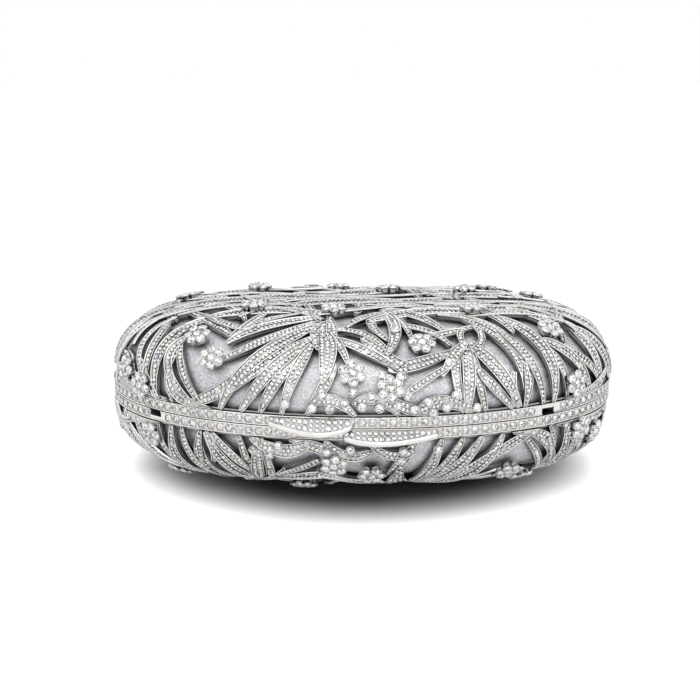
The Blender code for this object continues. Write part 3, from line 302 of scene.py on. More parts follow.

# Metal round the stones: profiles of radius and height for a radius of 1, sides and tones; the dark tones of
# the pads and of the bezels' outer walls are painted shade round the stones
CUP_PROFILE = ((0.78, -1.0), (0.96, -0.40), (1.04, -0.10), (1.04, 0.04), (0.90, 0.06))
CUP_SIDES = 14
CUP_TONE = 0.72
PAD_PROFILE = ((0.85, -0.5), (1.0, -0.42), (1.0, -0.08), (0.92, -0.02))
PAD_SIDES = 20
PAD_TONE = 0.5
CLAW_PROFILE = ((0.5, -0.9), (1.0, -0.3), (0.9, 0.35), (0.35, 0.85))
CLAW_SIDES = 6
BEZEL_PROFILE = ((1.18, -0.9), (1.20, 0.10), (1.13, 0.27), (1.04, 0.30), (0.95, 0.02))
BEZEL_SIDES = 16
BEZEL_TONES = (0.30, 0.30, 1.00, 0.70, 0.40)

# Painted shade on the crown, which darkens its top: how far out it goes, as shares of the sheet, and its
# tones
PAINTED_CROWN_SHADE_LENGTH_SHARE = 0.3
PAINTED_CROWN_SHADE_SHARES = (0.15, 0.40)
PAINTED_CROWN_SHADE_TONES = (0.76, 1.0)

# Painted shade in recesses of the metal and of the cloth: reach, openness of the darkest places and their
# tone
METAL_PAINTED_SHADE = (0.8 * MM, 0.30, 0.36)
CLOTH_PAINTED_SHADE = (3.0 * MM, 0.25, 0.24)
PAINTED_SHADE_END = 0.75
PAINTED_SHADE_SAMPLES = 6

# Foot of the openwork: inset, lift and tone; the dark tones are painted shade where the openwork meets the
# rim
RING_SECTION = (
    (0.0, -1.7 * MM, 0.3), (0.0, -1.0 * MM, 0.5), (0.5 * MM, -1.0 * MM, 0.4), (0.5 * MM, -1.7 * MM, 0.2),
)

# Rim band, with its edges softened: inset, height and tone; the dark tones on its top, under the openwork's
# foot, are painted shade
RIM_STATIONS = 360
RIM_TURNS = 2 * math.pi * np.arange(RIM_STATIONS) / RIM_STATIONS
RIM_FOOT = SEAT_GAP / 2
SOFT_EDGE = 0.15 * MM
BAND_DEPTH = 0.45 * MM
RIM_SECTION = (
    (SOFT_EDGE, RIM_FOOT, 0.6),
    (0.0, RIM_FOOT + SOFT_EDGE, 0.9),
    (0.0, RIM_FOOT + RIM_LIP / 2, 0.9),
    (BAND_DEPTH, RIM_FOOT + RIM_LIP, 0.95),
    (BAND_DEPTH, RIM_HEIGHT - RIM_LIP, 0.95),
    (0.0, RIM_HEIGHT - RIM_LIP / 2, 0.9),
    (0.0, RIM_HEIGHT - SOFT_EDGE, 0.9),
    (SOFT_EDGE, RIM_HEIGHT, 0.7),
    (4 * SOFT_EDGE, RIM_HEIGHT, 0.35),
    (OPENWORK_THICKNESS, RIM_HEIGHT, 0.2),
    (RIM_THICKNESS - SOFT_EDGE, RIM_HEIGHT, 0.5),
    (RIM_THICKNESS, RIM_HEIGHT - SOFT_EDGE, 0.7),
    (RIM_THICKNESS, RIM_FOOT + SOFT_EDGE, 0.9),
    (RIM_THICKNESS - SOFT_EDGE, RIM_FOOT, 0.9),
)

# Fineness of the shapes
TURN_COUNT = 181
ARC_COUNT = 241
PROFILE_STEPS = np.linspace(0.0, 1.0, 481) ** 2
NORMAL_STEP = 0.004
CAST_SMOOTHING = math.radians(40)
FORM_SMOOTHING = math.radians(50)
LINE_STEPS = 7201
LINE_STEP = 0.002
SHELL_AROUND = 160
LINING_AROUND = 600
SHELL_ROWS = 30
FIRST_ROW_SHARE = 0.02

# Gathers of the lining: height, number round the rim and start; their drift and fading; the painted shade at
# the shells' foot
FOLDS = ((0.42 * MM, 44, 0.0), (0.30 * MM, 67, 1.0), (0.18 * MM, 23, 2.0))
FOLD_DRIFT = (0.05, 5, 4)
FOLD_FADE = 3.5
FOLD_END = 40
FOOT_PAINTED_SHADE = 0.2

# Metals, and the tints of the other materials: place on the ramp and colour
SILVER = (0.86, 0.845, 0.83)
# Painted light: the rim's plating is the leaves' silver made lighter.
RIM_SILVER_PAINTED_LIGHTER = (0.97, 0.95, 0.93)
METAL_CLOUDING = 0.90
CRYSTAL_TINTS = ((0.36, (0.93, 0.93, 1.0)), (0.5, (0.98, 0.98, 0.98)), (0.64, (1.0, 0.97, 0.90)))
FLAKE_TINTS = (
    (0.0, (0.52, 0.53, 0.55)), (0.55, (0.76, 0.77, 0.79)),
    (0.86, (0.88, 0.89, 0.91)), (0.95, (1.0, 1.0, 1.0)),
)
CLOTH_TINTS = ((0.32, (0.80, 0.81, 0.83)), (0.68, (1.0, 1.0, 1.0)))
SATIN_TINTS = ((0.3, (0.44, 0.43, 0.42)), (0.7, (0.50, 0.49, 0.48)))
STEEL_TINTS = ((0.3, (0.46, 0.46, 0.47)), (0.7, (0.62, 0.62, 0.63)))

# Nodes of the part that are shown as they are, with a metal of the looks
FITTINGS = (
    "upper_hinge_leaf", "lower_hinge_leaf", "chain_lug_left", "chain_lug_right", "chain_ring_left",
    "chain_ring_right",
)
STEEL_PARTS = (
    "hinge_pin", "striker_tongue", "striker_rivet_left", "striker_rivet_right", "catch_bracket",
    "bracket_rivet_left", "bracket_rivet_right", "catch_spring",
)

# Surround: levels of the sky, tints of the panels in mirror rays, and their change towards wall and sides
SKY_LEVELS = (0.15, 1.05)
PANEL_TINTS = ((0.40, (0.5, 0.5, 0.5)), (0.56, (1.2, 1.2, 1.2)))
WALL_DEPTH = (0.0, 0.9)
WALL_LEVELS = (1.0, 0.85)
SIDE_REACH = (0.3, 0.8)
SIDE_LEVELS = (1.0, 1.25)

# Floor: its size, the spread of the shadow painted on it, the levels that the camera sees, dark for the
# painted shadow and white beyond, and those that light the bag
FLOOR_SIZE = 6.0
PAINTED_SHADOW_OVAL = (0.75, 1.0, 1.0)
PAINTED_SHADOW_SPREAD = (0.036, 0.080)
FLOOR_SEEN_PAINTED_SHADOW_TO_WHITE = (0.10, 1.9)
FLOOR_DEPTH = (-0.02, 0.12)
FLOOR_LEVELS = (0.95, 0.8)

# Lamps: name, place, size and power
LAMPS = (
    ("key", (-0.25, -0.30, 1.10), 1.0, 2.6),
    ("fill", (0.3, -0.95, 0.60), 1.2, 3.6),
    ("back", (0.1, 0.8, 1.0), 0.8, 1.0),
)

# Camera: distance from the middle of the parting line, angle over it and the picture's framing
CAMERA_DISTANCE = 0.450
CAMERA_RISE = math.radians(17.7)
FOCAL_LENGTH = 56.8
SENSOR_WIDTH = 36.0
IMAGE_SIZE = 700
CENTRE_PIXEL = (362.0, 378.4)

rim_low, rim_high = (np.array(corner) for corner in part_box("upper_rim_frame"))
BAG_CENTRE = np.array((0.0, (rim_low[1] + rim_high[1]) / 2, HALF_THICKNESS))
HALVES = (("upper", np.array((1.0, 1.0, 1.0))), ("lower", np.array((-1.0, 1.0, -1.0))))


# Shape of one half: height 0 is the parting plane, the crown is up

def outline(angle, inset=0.0):
    """The rim's outer line moved inwards by inset: x and y for each angle."""
    power = PLAN_POWER_SHARE
    factor = (np.abs(np.cos(angle)) ** power + np.abs(np.sin(angle)) ** power) ** (-1 / power)
    return (HALF_LENGTH - inset) * factor * np.cos(angle), (HALF_DEPTH - inset) * factor * np.sin(angle)


def run_lengths(points):
    """Length of a line of points from its start to each of them."""
    return np.concatenate(([0.0], np.cumsum(np.linalg.norm(np.diff(points, axis=0), axis=1))))


def dome_profile(angle, inset):
    """Plan share, height and arc length from the crown to the shell's foot."""
    fullness = SIDE_FULLNESS_SHARE + (END_FULLNESS_SHARE - SIDE_FULLNESS_SHARE) * math.cos(angle) ** 2
    crown = OPENWORK_CROWN - inset
    last = math.acos((SHELL_FOOT / crown) ** (DOME_FULLNESS_SHARE / 2))
    turn = PROFILE_STEPS * last
    share = np.sin(turn) ** (2 / fullness)
    height = crown * np.cos(turn) ** (2 / DOME_FULLNESS_SHARE)
    reach = share * np.hypot(*outline(angle, inset))
    return share, height, run_lengths(np.stack((reach, height), axis=1))


class Dome:
    """The dome at one inset, read from a table of angles and arc shares."""

    def __init__(self, inset):
        self.inset = inset
        self.plans = np.empty((TURN_COUNT, ARC_COUNT))
        self.heights = np.empty((TURN_COUNT, ARC_COUNT))
        steps = np.linspace(0.0, 1.0, ARC_COUNT)
        for row, angle in enumerate(np.linspace(0.0, math.pi / 2, TURN_COUNT)):
            share, height, arc = dome_profile(angle, inset)
            self.plans[row] = np.interp(steps, arc / arc[-1], share)
            self.heights[row] = np.interp(steps, arc / arc[-1], height)

    def points(self, shares):
        """Points for shares of the flat sheet."""
        quarter = np.arctan2(np.abs(shares[:, 1]), np.abs(shares[:, 0])) / (math.pi / 2) * (TURN_COUNT - 1)
        arc = np.hypot(shares[:, 0], shares[:, 1]) * (ARC_COUNT - 1)
        row = np.minimum(quarter.astype(int), TURN_COUNT - 2)
        column = np.minimum(arc.astype(int), ARC_COUNT - 2)
        quarter -= row
        arc -= column

        def read(table):
            near = table[row, column] * (1 - quarter) + table[row + 1, column] * quarter
            far = table[row, column + 1] * (1 - quarter) + table[row + 1, column + 1] * quarter
            return near * (1 - arc) + far * arc

        x, y = outline(np.arctan2(shares[:, 1], shares[:, 0]), self.inset)
        plan = read(self.plans)
        return np.stack((x * plan, y * plan, read(self.heights)), axis=1)

    def normals(self, shares):
        """Outward directions for shares of the flat sheet."""
        ahead = self.points(shares + (NORMAL_STEP, 0)) - self.points(shares - (NORMAL_STEP, 0))
        aside = self.points(shares + (0, NORMAL_STEP)) - self.points(shares - (0, NORMAL_STEP))
        return unit(np.cross(ahead, aside))


def unit(vectors):
    """Vectors of length one."""
    return vectors / np.linalg.norm(vectors, axis=-1, keepdims=True)


openwork = Dome(0.0)
SHEET_HALF = np.array((dome_profile(0.0, 0.0)[2][-1], dome_profile(math.pi / 2, 0.0)[2][-1]))


def on_dome(sheet):
    """Places on the openwork's outer face and their outward directions, for points of the flat sheet."""
    shares = sheet / SHEET_HALF
    reach = np.hypot(shares[:, 0], shares[:, 1])[:, None]
    return openwork.points(shares / np.maximum(reach, 1.0)), openwork.normals(shares)


def painted_crown_shade(sheet):
    """Tones of the metal and the small stones at points of the flat sheet: painted shade makes the crown
    darker.
    """
    shares = sheet / SHEET_HALF
    return np.interp(np.hypot(PAINTED_CROWN_SHADE_LENGTH_SHARE * shares[:, 0], shares[:, 1]), PAINTED_CROWN_SHADE_SHARES, PAINTED_CROWN_SHADE_TONES)


# Meshes from many small shapes

class Template:
    """A small closed shape, stamped many times. kinds gives the row of FACET_REFLECTION_TONES of each face."""

    def __init__(self, points, faces, kinds=()):
        self.points = np.array(points, dtype=float)
        self.kinds = np.array(kinds, dtype=int)
        self.loops = np.array([index for face in faces for index in face])
        self.sizes = np.array([len(face) for face in faces])


class Pile:
    """Points, faces and grey tones gathered into one mesh."""

    def __init__(self):
        self.points, self.loops, self.sizes, self.tones = [], [], [], []
        self.count = 0

    def add(self, points, loops, sizes, tones):
        """Adds faces, with one tone for each corner."""
        self.points.append(points)
        self.loops.append(np.asarray(loops) + self.count)
        self.sizes.append(sizes)
        self.tones.append(tones)
        self.count += len(points)

    def grid(self, rows, tones, closed_rows=False):
        """Adds a tube through rings of points, closed or capped. tones is for a ring or for all points."""
        count, around = rows.shape[:2]
        index = np.arange(count * around).reshape(count, around)
        if closed_rows:
            index = np.vstack((index, index[:1]))
        here, after = index[:-1], index[1:]
        quads = np.stack((here, np.roll(here, -1, 1), np.roll(after, -1, 1), after), axis=-1).reshape(-1)
        sizes = np.full(len(quads) // 4, 4)
        if not closed_rows:
            quads = np.concatenate((quads, index[0][::-1], index[-1]))
            sizes = np.concatenate((sizes, (around, around)))
        every = np.broadcast_to(tones, (count, around)).reshape(-1)
        self.add(rows.reshape(-1, 3), quads, sizes, every[quads])

    def band(self, section, line):
        """Adds a closed band. line gives the points round the bag for an inset and height of its section."""
        rings = np.stack([line(inset, height) for inset, height, _ in section], axis=1)
        self.grid(rings, [tone for _, _, tone in section], closed_rows=True)

    def stamp(self, template, places, frames, scales, tones):
        """Adds a template at each place. There may be one scale for all, and one tone or row of tones."""
        number = len(places)
        scales = np.broadcast_to(scales, number)[:, None, None]
        points = np.einsum("pij,vj->pvi", frames, template.points) * scales + places[:, None, :]
        starts = np.arange(number)[:, None] * len(template.points)
        loops = (template.loops[None, :] + starts).reshape(-1)
        tones = np.broadcast_to(tones, (number, len(template.sizes)))
        corner_tones = np.repeat(tones, template.sizes, axis=1).reshape(-1)
        self.add(points.reshape(-1, 3), loops, np.tile(template.sizes, number), corner_tones)

    def piece(self, name, half_signs, material, smooth_angle=None):
        """The finished piece, moved from the half's own frame to the bag's."""
        points = np.concatenate(self.points) * half_signs + BAG_CENTRE
        loops = np.concatenate(self.loops)
        sizes = np.concatenate(self.sizes)
        mesh = bpy.data.meshes.new(name)
        mesh.vertices.add(len(points))
        mesh.vertices.foreach_set("co", points.reshape(-1))
        mesh.loops.add(len(loops))
        mesh.loops.foreach_set("vertex_index", loops)
        mesh.polygons.add(len(sizes))
        mesh.polygons.foreach_set("loop_start", np.concatenate(([0], np.cumsum(sizes)[:-1])))
        mesh.update(calc_edges=True)
        colours = np.repeat(np.concatenate(self.tones), 4).astype(np.float32)
        colours[3::4] = 1.0
        layer = mesh.color_attributes.new("tone", "FLOAT_COLOR", "CORNER")
        layer.data.foreach_set("color", colours)
        mesh.validate()
        if smooth_angle is not None:
            mesh.shade_smooth()
            mesh.set_sharp_from_angle(angle=smooth_angle)
        mesh.materials.append(material)
        piece = bpy.data.objects.new(name, mesh)
        bpy.context.scene.collection.objects.link(piece)
        return piece


def face_outwards(piece):
    """Turns the faces of each closed shape outwards."""
    shape = bmesh.new()
    shape.from_mesh(piece.data)
    bmesh.ops.recalc_face_normals(shape, faces=shape.faces)
    shape.to_mesh(piece.data)
    shape.free()


# Cut stones, of radius 1 with the girdle at height 0

def ring_points(radius, height, sides, start=0.0):
    """Points of a level ring, turned by a share of a side."""
    turns = 2 * math.pi * (np.arange(sides) + start) / sides
    return [(radius * math.cos(turn), radius * math.sin(turn), height) for turn in turns]


def small_stone(sides):
    """Many-sided stone: wide table, low crown and a blunt foot."""
    points = [point for radius, height in SMALL_RINGS for point in ring_points(radius, height, sides)]
    points.append((0.0, 0.0, SMALL_MIDDLE))
    faces, kinds = [], []
    for i in range(sides):
        j = (i + 1) % sides
        faces.append([i, j, 3 * sides])
        faces.append([sides + i, sides + j, j, i])
        faces.append([2 * sides + i, 2 * sides + j, sides + j, sides + i])
        kinds += [0, 1, 2]
    faces.append([3 * sides - 1 - i for i in range(sides)])
    return Template(points, faces, kinds + [2])


def brilliant():
    """Round brilliant: table, stars, kites, girdle facets and a pavilion."""
    points = ring_points(TABLE_RADIUS, TABLE_HEIGHT, 8) + ring_points(*STAR_RING, 8, 0.5)
    points += ring_points(1.0, 0.0, 16) + [(0.0, 0.0, BRILLIANT_FOOT), (0.0, 0.0, BRILLIANT_MIDDLE)]
    foot, middle = len(points) - 2, len(points) - 1
    faces, kinds = [], [0, 1, 1, 2, 2] * 8 + [2] * 16
    for i in range(8):
        j = (i + 1) % 8
        before = (i - 1) % 8
        faces.append([i, j, middle])
        faces.append([i, 8 + i, j])
        faces.append([i, 8 + before, 16 + 2 * i, 8 + i])
        faces.append([8 + i, 16 + 2 * i, 16 + 2 * i + 1])
        faces.append([8 + i, 16 + 2 * i + 1, 16 + (2 * i + 2) % 16])
    for i in range(16):
        faces.append([foot, 16 + (i + 1) % 16, 16 + i])
    return Template(points, faces, kinds)


def turned_shape(profile, sides, ring=False):
    """Turned shape from radius and height pairs: capped at its ends, or a ring whose profile closes."""
    points = [point for radius, height in profile for point in ring_points(radius, height, sides)]
    faces = []
    levels = len(profile) if ring else len(profile) - 1
    for level in range(levels):
        low, high = level * sides, (level + 1) % len(profile) * sides
        for i in range(sides):
            j = (i + 1) % sides
            faces.append([low + i, low + j, high + j, high + i])
    if not ring:
        faces.append(list(range(sides))[::-1])
        faces.append([levels * sides + i for i in range(sides)])
    return Template(points, faces)


SMALL_STONE = small_stone(8)
BRILLIANT = brilliant()
CUP = turned_shape(CUP_PROFILE, CUP_SIDES)
BEZEL = turned_shape(BEZEL_PROFILE, BEZEL_SIDES, ring=True)
PAD = turned_shape(PAD_PROFILE, PAD_SIDES)
CLAW = turned_shape(CLAW_PROFILE, CLAW_SIDES)


def painted_facet_reflections(number, template):
    """Painted reflections as grey tones of facets: each kind of facet has its own mix of bright, middle and
    dark ones.
    """
    rows = np.array(FACET_REFLECTION_TONES)[template.kinds]
    drawn = rng.random((number, len(rows)))
    dimmer = np.where(drawn < rows[:, 0] + rows[:, 1], rows[:, 3], rows[:, 4])
    tones = np.where(drawn < rows[:, 0], rows[:, 2], dimmer)
    dimming = DIMMEST_STONE + (1 - DIMMEST_STONE) * rng.random((number, 1)) ** DIMMING_POWER
    return tones * dimming


def stone_frames(normals, tilt):
    """Axes for stones: up along the normal with a small seeded tilt, and a seeded spin."""
    number = len(normals)
    up = unit(normals + tilt * rng.normal(size=(number, 3)))
    side = unit(np.cross(up, unit(rng.normal(size=(number, 3)))))
    return np.stack((side, np.cross(up, side), up), axis=-1)


def steady_frames(normals, along):
    """Axes for cups and rows: up along the normal, first axis near the given way."""
    side = unit(along - normals * np.sum(along * normals, axis=1, keepdims=True))
    return np.stack((side, np.cross(normals, side), normals), axis=-1)


# Materials

def new_material(name):
    """Material with its node tree and shader."""
    material = bpy.data.materials.new(name)
    material.use_nodes = True
    return material, material.node_tree, material.node_tree.nodes["Principled BSDF"]


def set_values(node, values):
    """Sets values on the sockets of a node."""
    for socket, value in values.items():
        node.inputs[socket].default_value = value


def placed(tree, kind, values=None, coordinates="Object"):
    """Node that reads the place on the object, with values on its other sockets."""
    node = tree.nodes.new(kind)
    set_values(node, values or {})
    place = tree.nodes.new("ShaderNodeTexCoord")
    tree.links.new(place.outputs[coordinates], node.inputs["Vector"])
    return node


def noise(tree, scale, detail, coordinates="Object"):
    """Value of a noise texture."""
    return placed(tree, "ShaderNodeTexNoise", {"Scale": scale, "Detail": detail}, coordinates).outputs["Fac"]


def ramp(tree, source, stops):
    """Colour for a value: stops are places on the ramp and colours."""
    node = tree.nodes.new("ShaderNodeValToRGB")
    elements = node.color_ramp.elements
    while len(elements) < len(stops):
        elements.new(0.5)
    for element, (position, colour) in zip(elements, stops):
        element.position = position
        element.color = (*colour, 1.0)
    tree.links.new(source, node.inputs["Fac"])
    return node.outputs["Color"]


def scaled(tree, source, low, high, start=0.0, end=1.0, curve="LINEAR"):
    """Value between start and end moved to a range."""
    node = tree.nodes.new("ShaderNodeMapRange")
    node.interpolation_type = curve
    set_values(node, {"From Min": start, "From Max": end, "To Min": low, "To Max": high})
    tree.links.new(source, node.inputs["Value"])
    return node.outputs["Result"]


def multiplied(tree, first, second):
    """Product of two colours."""
    node = tree.nodes.new("ShaderNodeMix")
    node.data_type = "RGBA"
    node.blend_type = "MULTIPLY"
    node.inputs["Factor"].default_value = 1.0
    tree.links.new(first, node.inputs["A"])
    tree.links.new(second, node.inputs["B"])
    return node.outputs["Result"]


def mixed(tree, factor, first, second):
    """Number between two others."""
    node = tree.nodes.new("ShaderNodeMix")
    node.data_type = "FLOAT"
    tree.links.new(factor, node.inputs["Factor"])
    for socket, value in (("A", first), ("B", second)):
        if isinstance(value, float):
            node.inputs[socket].default_value = value
        else:
            tree.links.new(value, node.inputs[socket])
    return node.outputs["Result"]


def bumped(tree, shader, height, strength, distance):
    """Bump on a shader from a height."""
    node = tree.nodes.new("ShaderNodeBump")
    set_values(node, {"Strength": strength, "Distance": distance})
    tree.links.new(height, node.inputs["Height"])
    tree.links.new(node.outputs["Normal"], shader.inputs["Normal"])


def tone_layer(tree):
    """The grey tone stored on the mesh."""
    node = tree.nodes.new("ShaderNodeAttribute")
    node.attribute_name = "tone"
    return node.outputs["Color"]


def painted_recess_shade(tree, reach, hidden, darkest):
    """Painted shade: tones that fall to the darkest one in recesses, where other surfaces lie within reach.
    """
    nearness = tree.nodes.new("ShaderNodeAmbientOcclusion")
    nearness.inputs["Distance"].default_value = reach
    nearness.samples = PAINTED_SHADE_SAMPLES
    return ramp(tree, nearness.outputs["AO"], ((hidden, [darkest] * 3), (PAINTED_SHADE_END, [1.0] * 3)))


def plated_metal(name, colour, roughness, toned):
    """Silver-tone plating: soft clouding in colour and roughness, hairline polish, and, if toned, the mesh's
    tones and painted shade in recesses.
    """
    material, tree, shader = new_material(name)
    cloud = noise(tree, scale=260.0, detail=3.0)
    tint = ramp(tree, cloud, ((0.3, [METAL_CLOUDING * channel for channel in colour]), (0.7, colour)))
    if toned:
        tint = multiplied(tree, tint, tone_layer(tree))
        # Painted shade darkens the metal in its recesses.
        tint = multiplied(tree, tint, painted_recess_shade(tree, *METAL_PAINTED_SHADE))
    tree.links.new(tint, shader.inputs["Base Color"])
    shader.inputs["Metallic"].default_value = 1.0
    rough = scaled(tree, cloud, low=0.7 * roughness, high=1.4 * roughness)
    tree.links.new(rough, shader.inputs["Roughness"])
    bumped(tree, shader, noise(tree, scale=2600.0, detail=2.0), strength=0.12, distance=0.05 * MM)
    return material


def crystal_material(name):
    """Crystal: bright and dark facets painted as reflections in the tone layer, under a clear, glossy face.
    """
    material, tree, shader = new_material(name)
    tint = ramp(tree, noise(tree, scale=420.0, detail=1.0), CRYSTAL_TINTS)
    tree.links.new(multiplied(tree, tint, tone_layer(tree)), shader.inputs["Base Color"])
    set_values(shader, {"Metallic": 0.65, "Roughness": 0.07, "IOR": 1.54})
    set_values(shader, {"Coat Weight": 0.5, "Coat Roughness": 0.03})
    return material


def glitter_material(name):
    """Silver glitter cloth: flakes of many tones and tilts on a pale grey ground, with the mesh's tones and
    painted shade in recesses.
    """
    material, tree, shader = new_material(name)
    flakes = placed(tree, "ShaderNodeTexVoronoi", {"Scale": 2600.0})
    tones = tree.nodes.new("ShaderNodeSeparateColor")
    tree.links.new(flakes.outputs["Color"], tones.inputs["Color"])
    flake_tint = ramp(tree, tones.outputs["Red"], FLAKE_TINTS)
    cloth = multiplied(tree, flake_tint, ramp(tree, noise(tree, scale=300.0, detail=3.0), CLOTH_TINTS))
    # The tone layer carries the painted shade at the board's foot.
    cloth = multiplied(tree, cloth, tone_layer(tree))
    # Painted shade darkens the cloth in the gaps beside the leaves.
    cloth = multiplied(tree, cloth, painted_recess_shade(tree, *CLOTH_PAINTED_SHADE))
    tree.links.new(cloth, shader.inputs["Base Color"])
    tree.links.new(scaled(tree, tones.outputs["Green"], low=0.15, high=0.75), shader.inputs["Metallic"])
    shader.inputs["Roughness"].default_value = 0.38
    bumped(tree, shader, tones.outputs["Blue"], strength=0.55, distance=0.10 * MM)
    return material


def satin_material(name):
    """Grey satin: fine threads, soft dents, and a sheen that follows them."""
    material, tree, shader = new_material(name)
    tree.links.new(ramp(tree, noise(tree, scale=45.0, detail=2.0), SATIN_TINTS), shader.inputs["Base Color"])
    set_values(shader, {"Metallic": 0.35, "Roughness": 0.36, "Sheen Weight": 0.35, "Sheen Roughness": 0.3})
    threads = placed(tree, "ShaderNodeTexWave", {"Scale": 900.0, "Distortion": 1.5})
    dents = noise(tree, scale=70.0, detail=1.0)
    heights = multiplied(tree, scaled(tree, threads.outputs["Fac"], low=0.97, high=1.0), dents)
    bumped(tree, shader, heights, strength=0.6, distance=1.2 * MM)
    return material


def steel_material(name):
    """Plain steel with a drawn grain along X."""
    material, tree, shader = new_material(name)
    stretch = placed(tree, "ShaderNodeMapping", {"Scale": (0.05, 1.0, 1.0)})
    grain = tree.nodes.new("ShaderNodeTexNoise")
    grain.inputs["Scale"].default_value = 3000.0
    tree.links.new(stretch.outputs["Vector"], grain.inputs["Vector"])
    tree.links.new(ramp(tree, grain.outputs["Fac"], STEEL_TINTS), shader.inputs["Base Color"])
    shader.inputs["Metallic"].default_value = 1.0
    tree.links.new(scaled(tree, grain.outputs["Fac"], low=0.22, high=0.42), shader.inputs["Roughness"])
    return material


cast_metal = plated_metal("cast_silver", SILVER, roughness=0.17, toned=True)
# Painted light: the rim's silver is lighter than the leaves' one.
rim_metal = plated_metal("rim_silver_painted_lighter", RIM_SILVER_PAINTED_LIGHTER, roughness=0.24, toned=True)
fitting_metal = plated_metal("fitting_silver", SILVER, roughness=0.22, toned=False)
crystal = crystal_material("cut_crystal")
glitter = glitter_material("glitter_cloth")
satin = satin_material("satin_cloth")
steel = steel_material("drawn_steel")


# Leaves and their stones on the flat sheet

def both_ways(shares):
    """A row of shares and the same row turned half round."""
    return shares, tuple(-share for share in shares[:6]) + tuple(shares[6:])


def all_both_ways(rows):
    """Every row of shares, each followed by itself turned half round."""
    return [shares for row in rows for shares in both_ways(row)]


def leaf_line(shares, ways):
    """Middle line of a leaf on the flat sheet, the way across it and half its width."""
    root, bend, tip = (np.array(shares[i:i + 2]) * SHEET_HALF for i in (0, 2, 4))
    reach = math.hypot(*shares[4:6])
    if reach > RIM_REACH_SHARE:
        tip = tip / reach
    ways = ways[:, None]
    middle = (1 - ways) ** 2 * root + 2 * ways * (1 - ways) * bend + ways ** 2 * tip
    along = unit((1 - ways) * (bend - root) + ways * (tip - bend))
    side = np.stack((-along[:, 1], along[:, 0]), axis=1)
    fullness = np.sin(math.pi * ways ** LEAF_PEAK_SHARE).clip(0) ** LEAF_FULLNESS_SHARE
    swell = fullness * (LEAF_WIDTH * shares[6] - LEAF_TIP_WIDTH)
    return middle, side, (LEAF_TIP_WIDTH + swell) / 2


class Leaf:
    """One leaf: its line, its level over the dome and its bank across."""

    def __init__(self, shares, level, bank):
        self.shares, self.level, self.bank = shares, level, bank

    def cross(self, ways):
        """Right edge, way across to the left edge, its length, and the normal, along the leaf."""
        middle, side, half = leaf_line(self.shares, ways)
        left, _ = on_dome(middle + side * half)
        right, _ = on_dome(middle - side * half)
        _, normal = on_dome(middle)
        across = left - right
        return right, across, np.maximum(np.linalg.norm(across, axis=1), LEAST_WIDTH), normal

    def lift(self, ways, share, width):
        """Height over the dome at a share of the way across."""
        return self.level + self.bank * (share - 0.5) * width + LEAF_ARCH * np.sin(math.pi * ways)

    def loop(self):
        """Points round the leaf on the flat sheet."""
        middle, side, half = leaf_line(self.shares, np.linspace(0.0, 1.0, LOOP_STATIONS))
        return np.concatenate((middle + side * half, (middle - side * half)[::-1]))

    def rings(self):
        """Rings of points round the leaf's section, and the section's tones, with painted shade on its low
        sides and on the crown.
        """
        ways = np.linspace(0.0, 1.0, LEAF_STATIONS)
        right, across, width, normal = self.cross(ways)
        fit = np.minimum(1.0, width / (BEADS_ACROSS * BEAD_WIDTH))
        section = BEAD_SECTION + BEAD_SECTION[::-1]
        rings = np.empty((LEAF_STATIONS, len(section), 3))
        for index, (edge, lift, _) in enumerate(section):
            share = edge * fit / width
            if index >= len(BEAD_SECTION):
                share = 1 - share
            height = lift + self.lift(ways, share, width)
            rings[:, index] = right + across * share[:, None] + normal * height[:, None]
        middle, _, _ = leaf_line(self.shares, ways)
        # The section's tones are darkened on the crown by painted shade.
        return rings, np.outer(painted_crown_shade(middle), [tone for _, _, tone in section])

    def stones(self):
        """Places on the flat sheet, heights and diameters of the stones in the leaf's channel."""
        ways = np.linspace(0.0, 1.0, CHANNEL_STATIONS)
        place, _ = on_dome(leaf_line(self.shares, ways)[0])
        _, _, width, _ = self.cross(ways)
        run = run_lengths(place)
        first, last = PAVE_PITCH * PAVE_ENDS[0], run[-1] - PAVE_PITCH * PAVE_ENDS[1]
        found = []
        for stop in np.arange(first, last, PAVE_PITCH):
            wide = np.interp(stop, run, width)
            channel = wide - 2 * BEAD_WIDTH * PAVE_CHANNEL
            number = max(1, int(channel / (PAVE_PITCH * PAVE_ROWS[0]) + PAVE_ROWS[1]))
            diameter = min(PAVE_DIAMETER, channel / number * PAVE_FIT)
            if diameter < SMALLEST_PAVE:
                continue
            for index in range(number):
                way = np.interp(stop + index % 2 * PAVE_PITCH / 2, run, ways)
                centre, across, reach = leaf_line(self.shares, np.array([way]))
                share = 0.5 + ((index + 0.5) / number - 0.5) * channel / wide
                spot = centre[0] + across[0] * reach[0] * (2 * share - 1)
                found.append((*spot, self.lift(way, share, wide), diameter))
        return np.array(found).reshape(-1, 4)


def inside(points, loop):
    """For each flat point, whether it lies inside the loop."""
    result = np.zeros(len(points), dtype=bool)
    for start, end in zip(loop, np.roll(loop, -1, axis=0)):
        crosses = (start[1] > points[:, 1]) != (end[1] > points[:, 1])
        if start[1] != end[1]:
            meet = start[0] + (points[:, 1] - start[1]) * (end[0] - start[0]) / (end[1] - start[1])
            result ^= crosses & (points[:, 0] < meet)
    return result


leaves = []
for number, row in enumerate(LEAF_SHARES):
    level = LEAF_LEVELS[number % len(LEAF_LEVELS)]
    bank = LEAF_BANK * (1 if number % 2 else -1)
    leaves.extend(Leaf(shares, level, bank) for shares in both_ways(row))

floret_places = [*all_both_ways(FLORET_SHARES + EXTRA_FLORET_SHARES), *CROWN_FLORET_SHARES]
rest_places = list(REST_FLORET_SHARES)
single_places = {
    "upper": all_both_ways(SINGLE_SHARES + SMALL_SINGLE_SHARES),
    "lower": all_both_ways(SINGLE_SHARES + LOWER_SINGLE_SHARES),
}


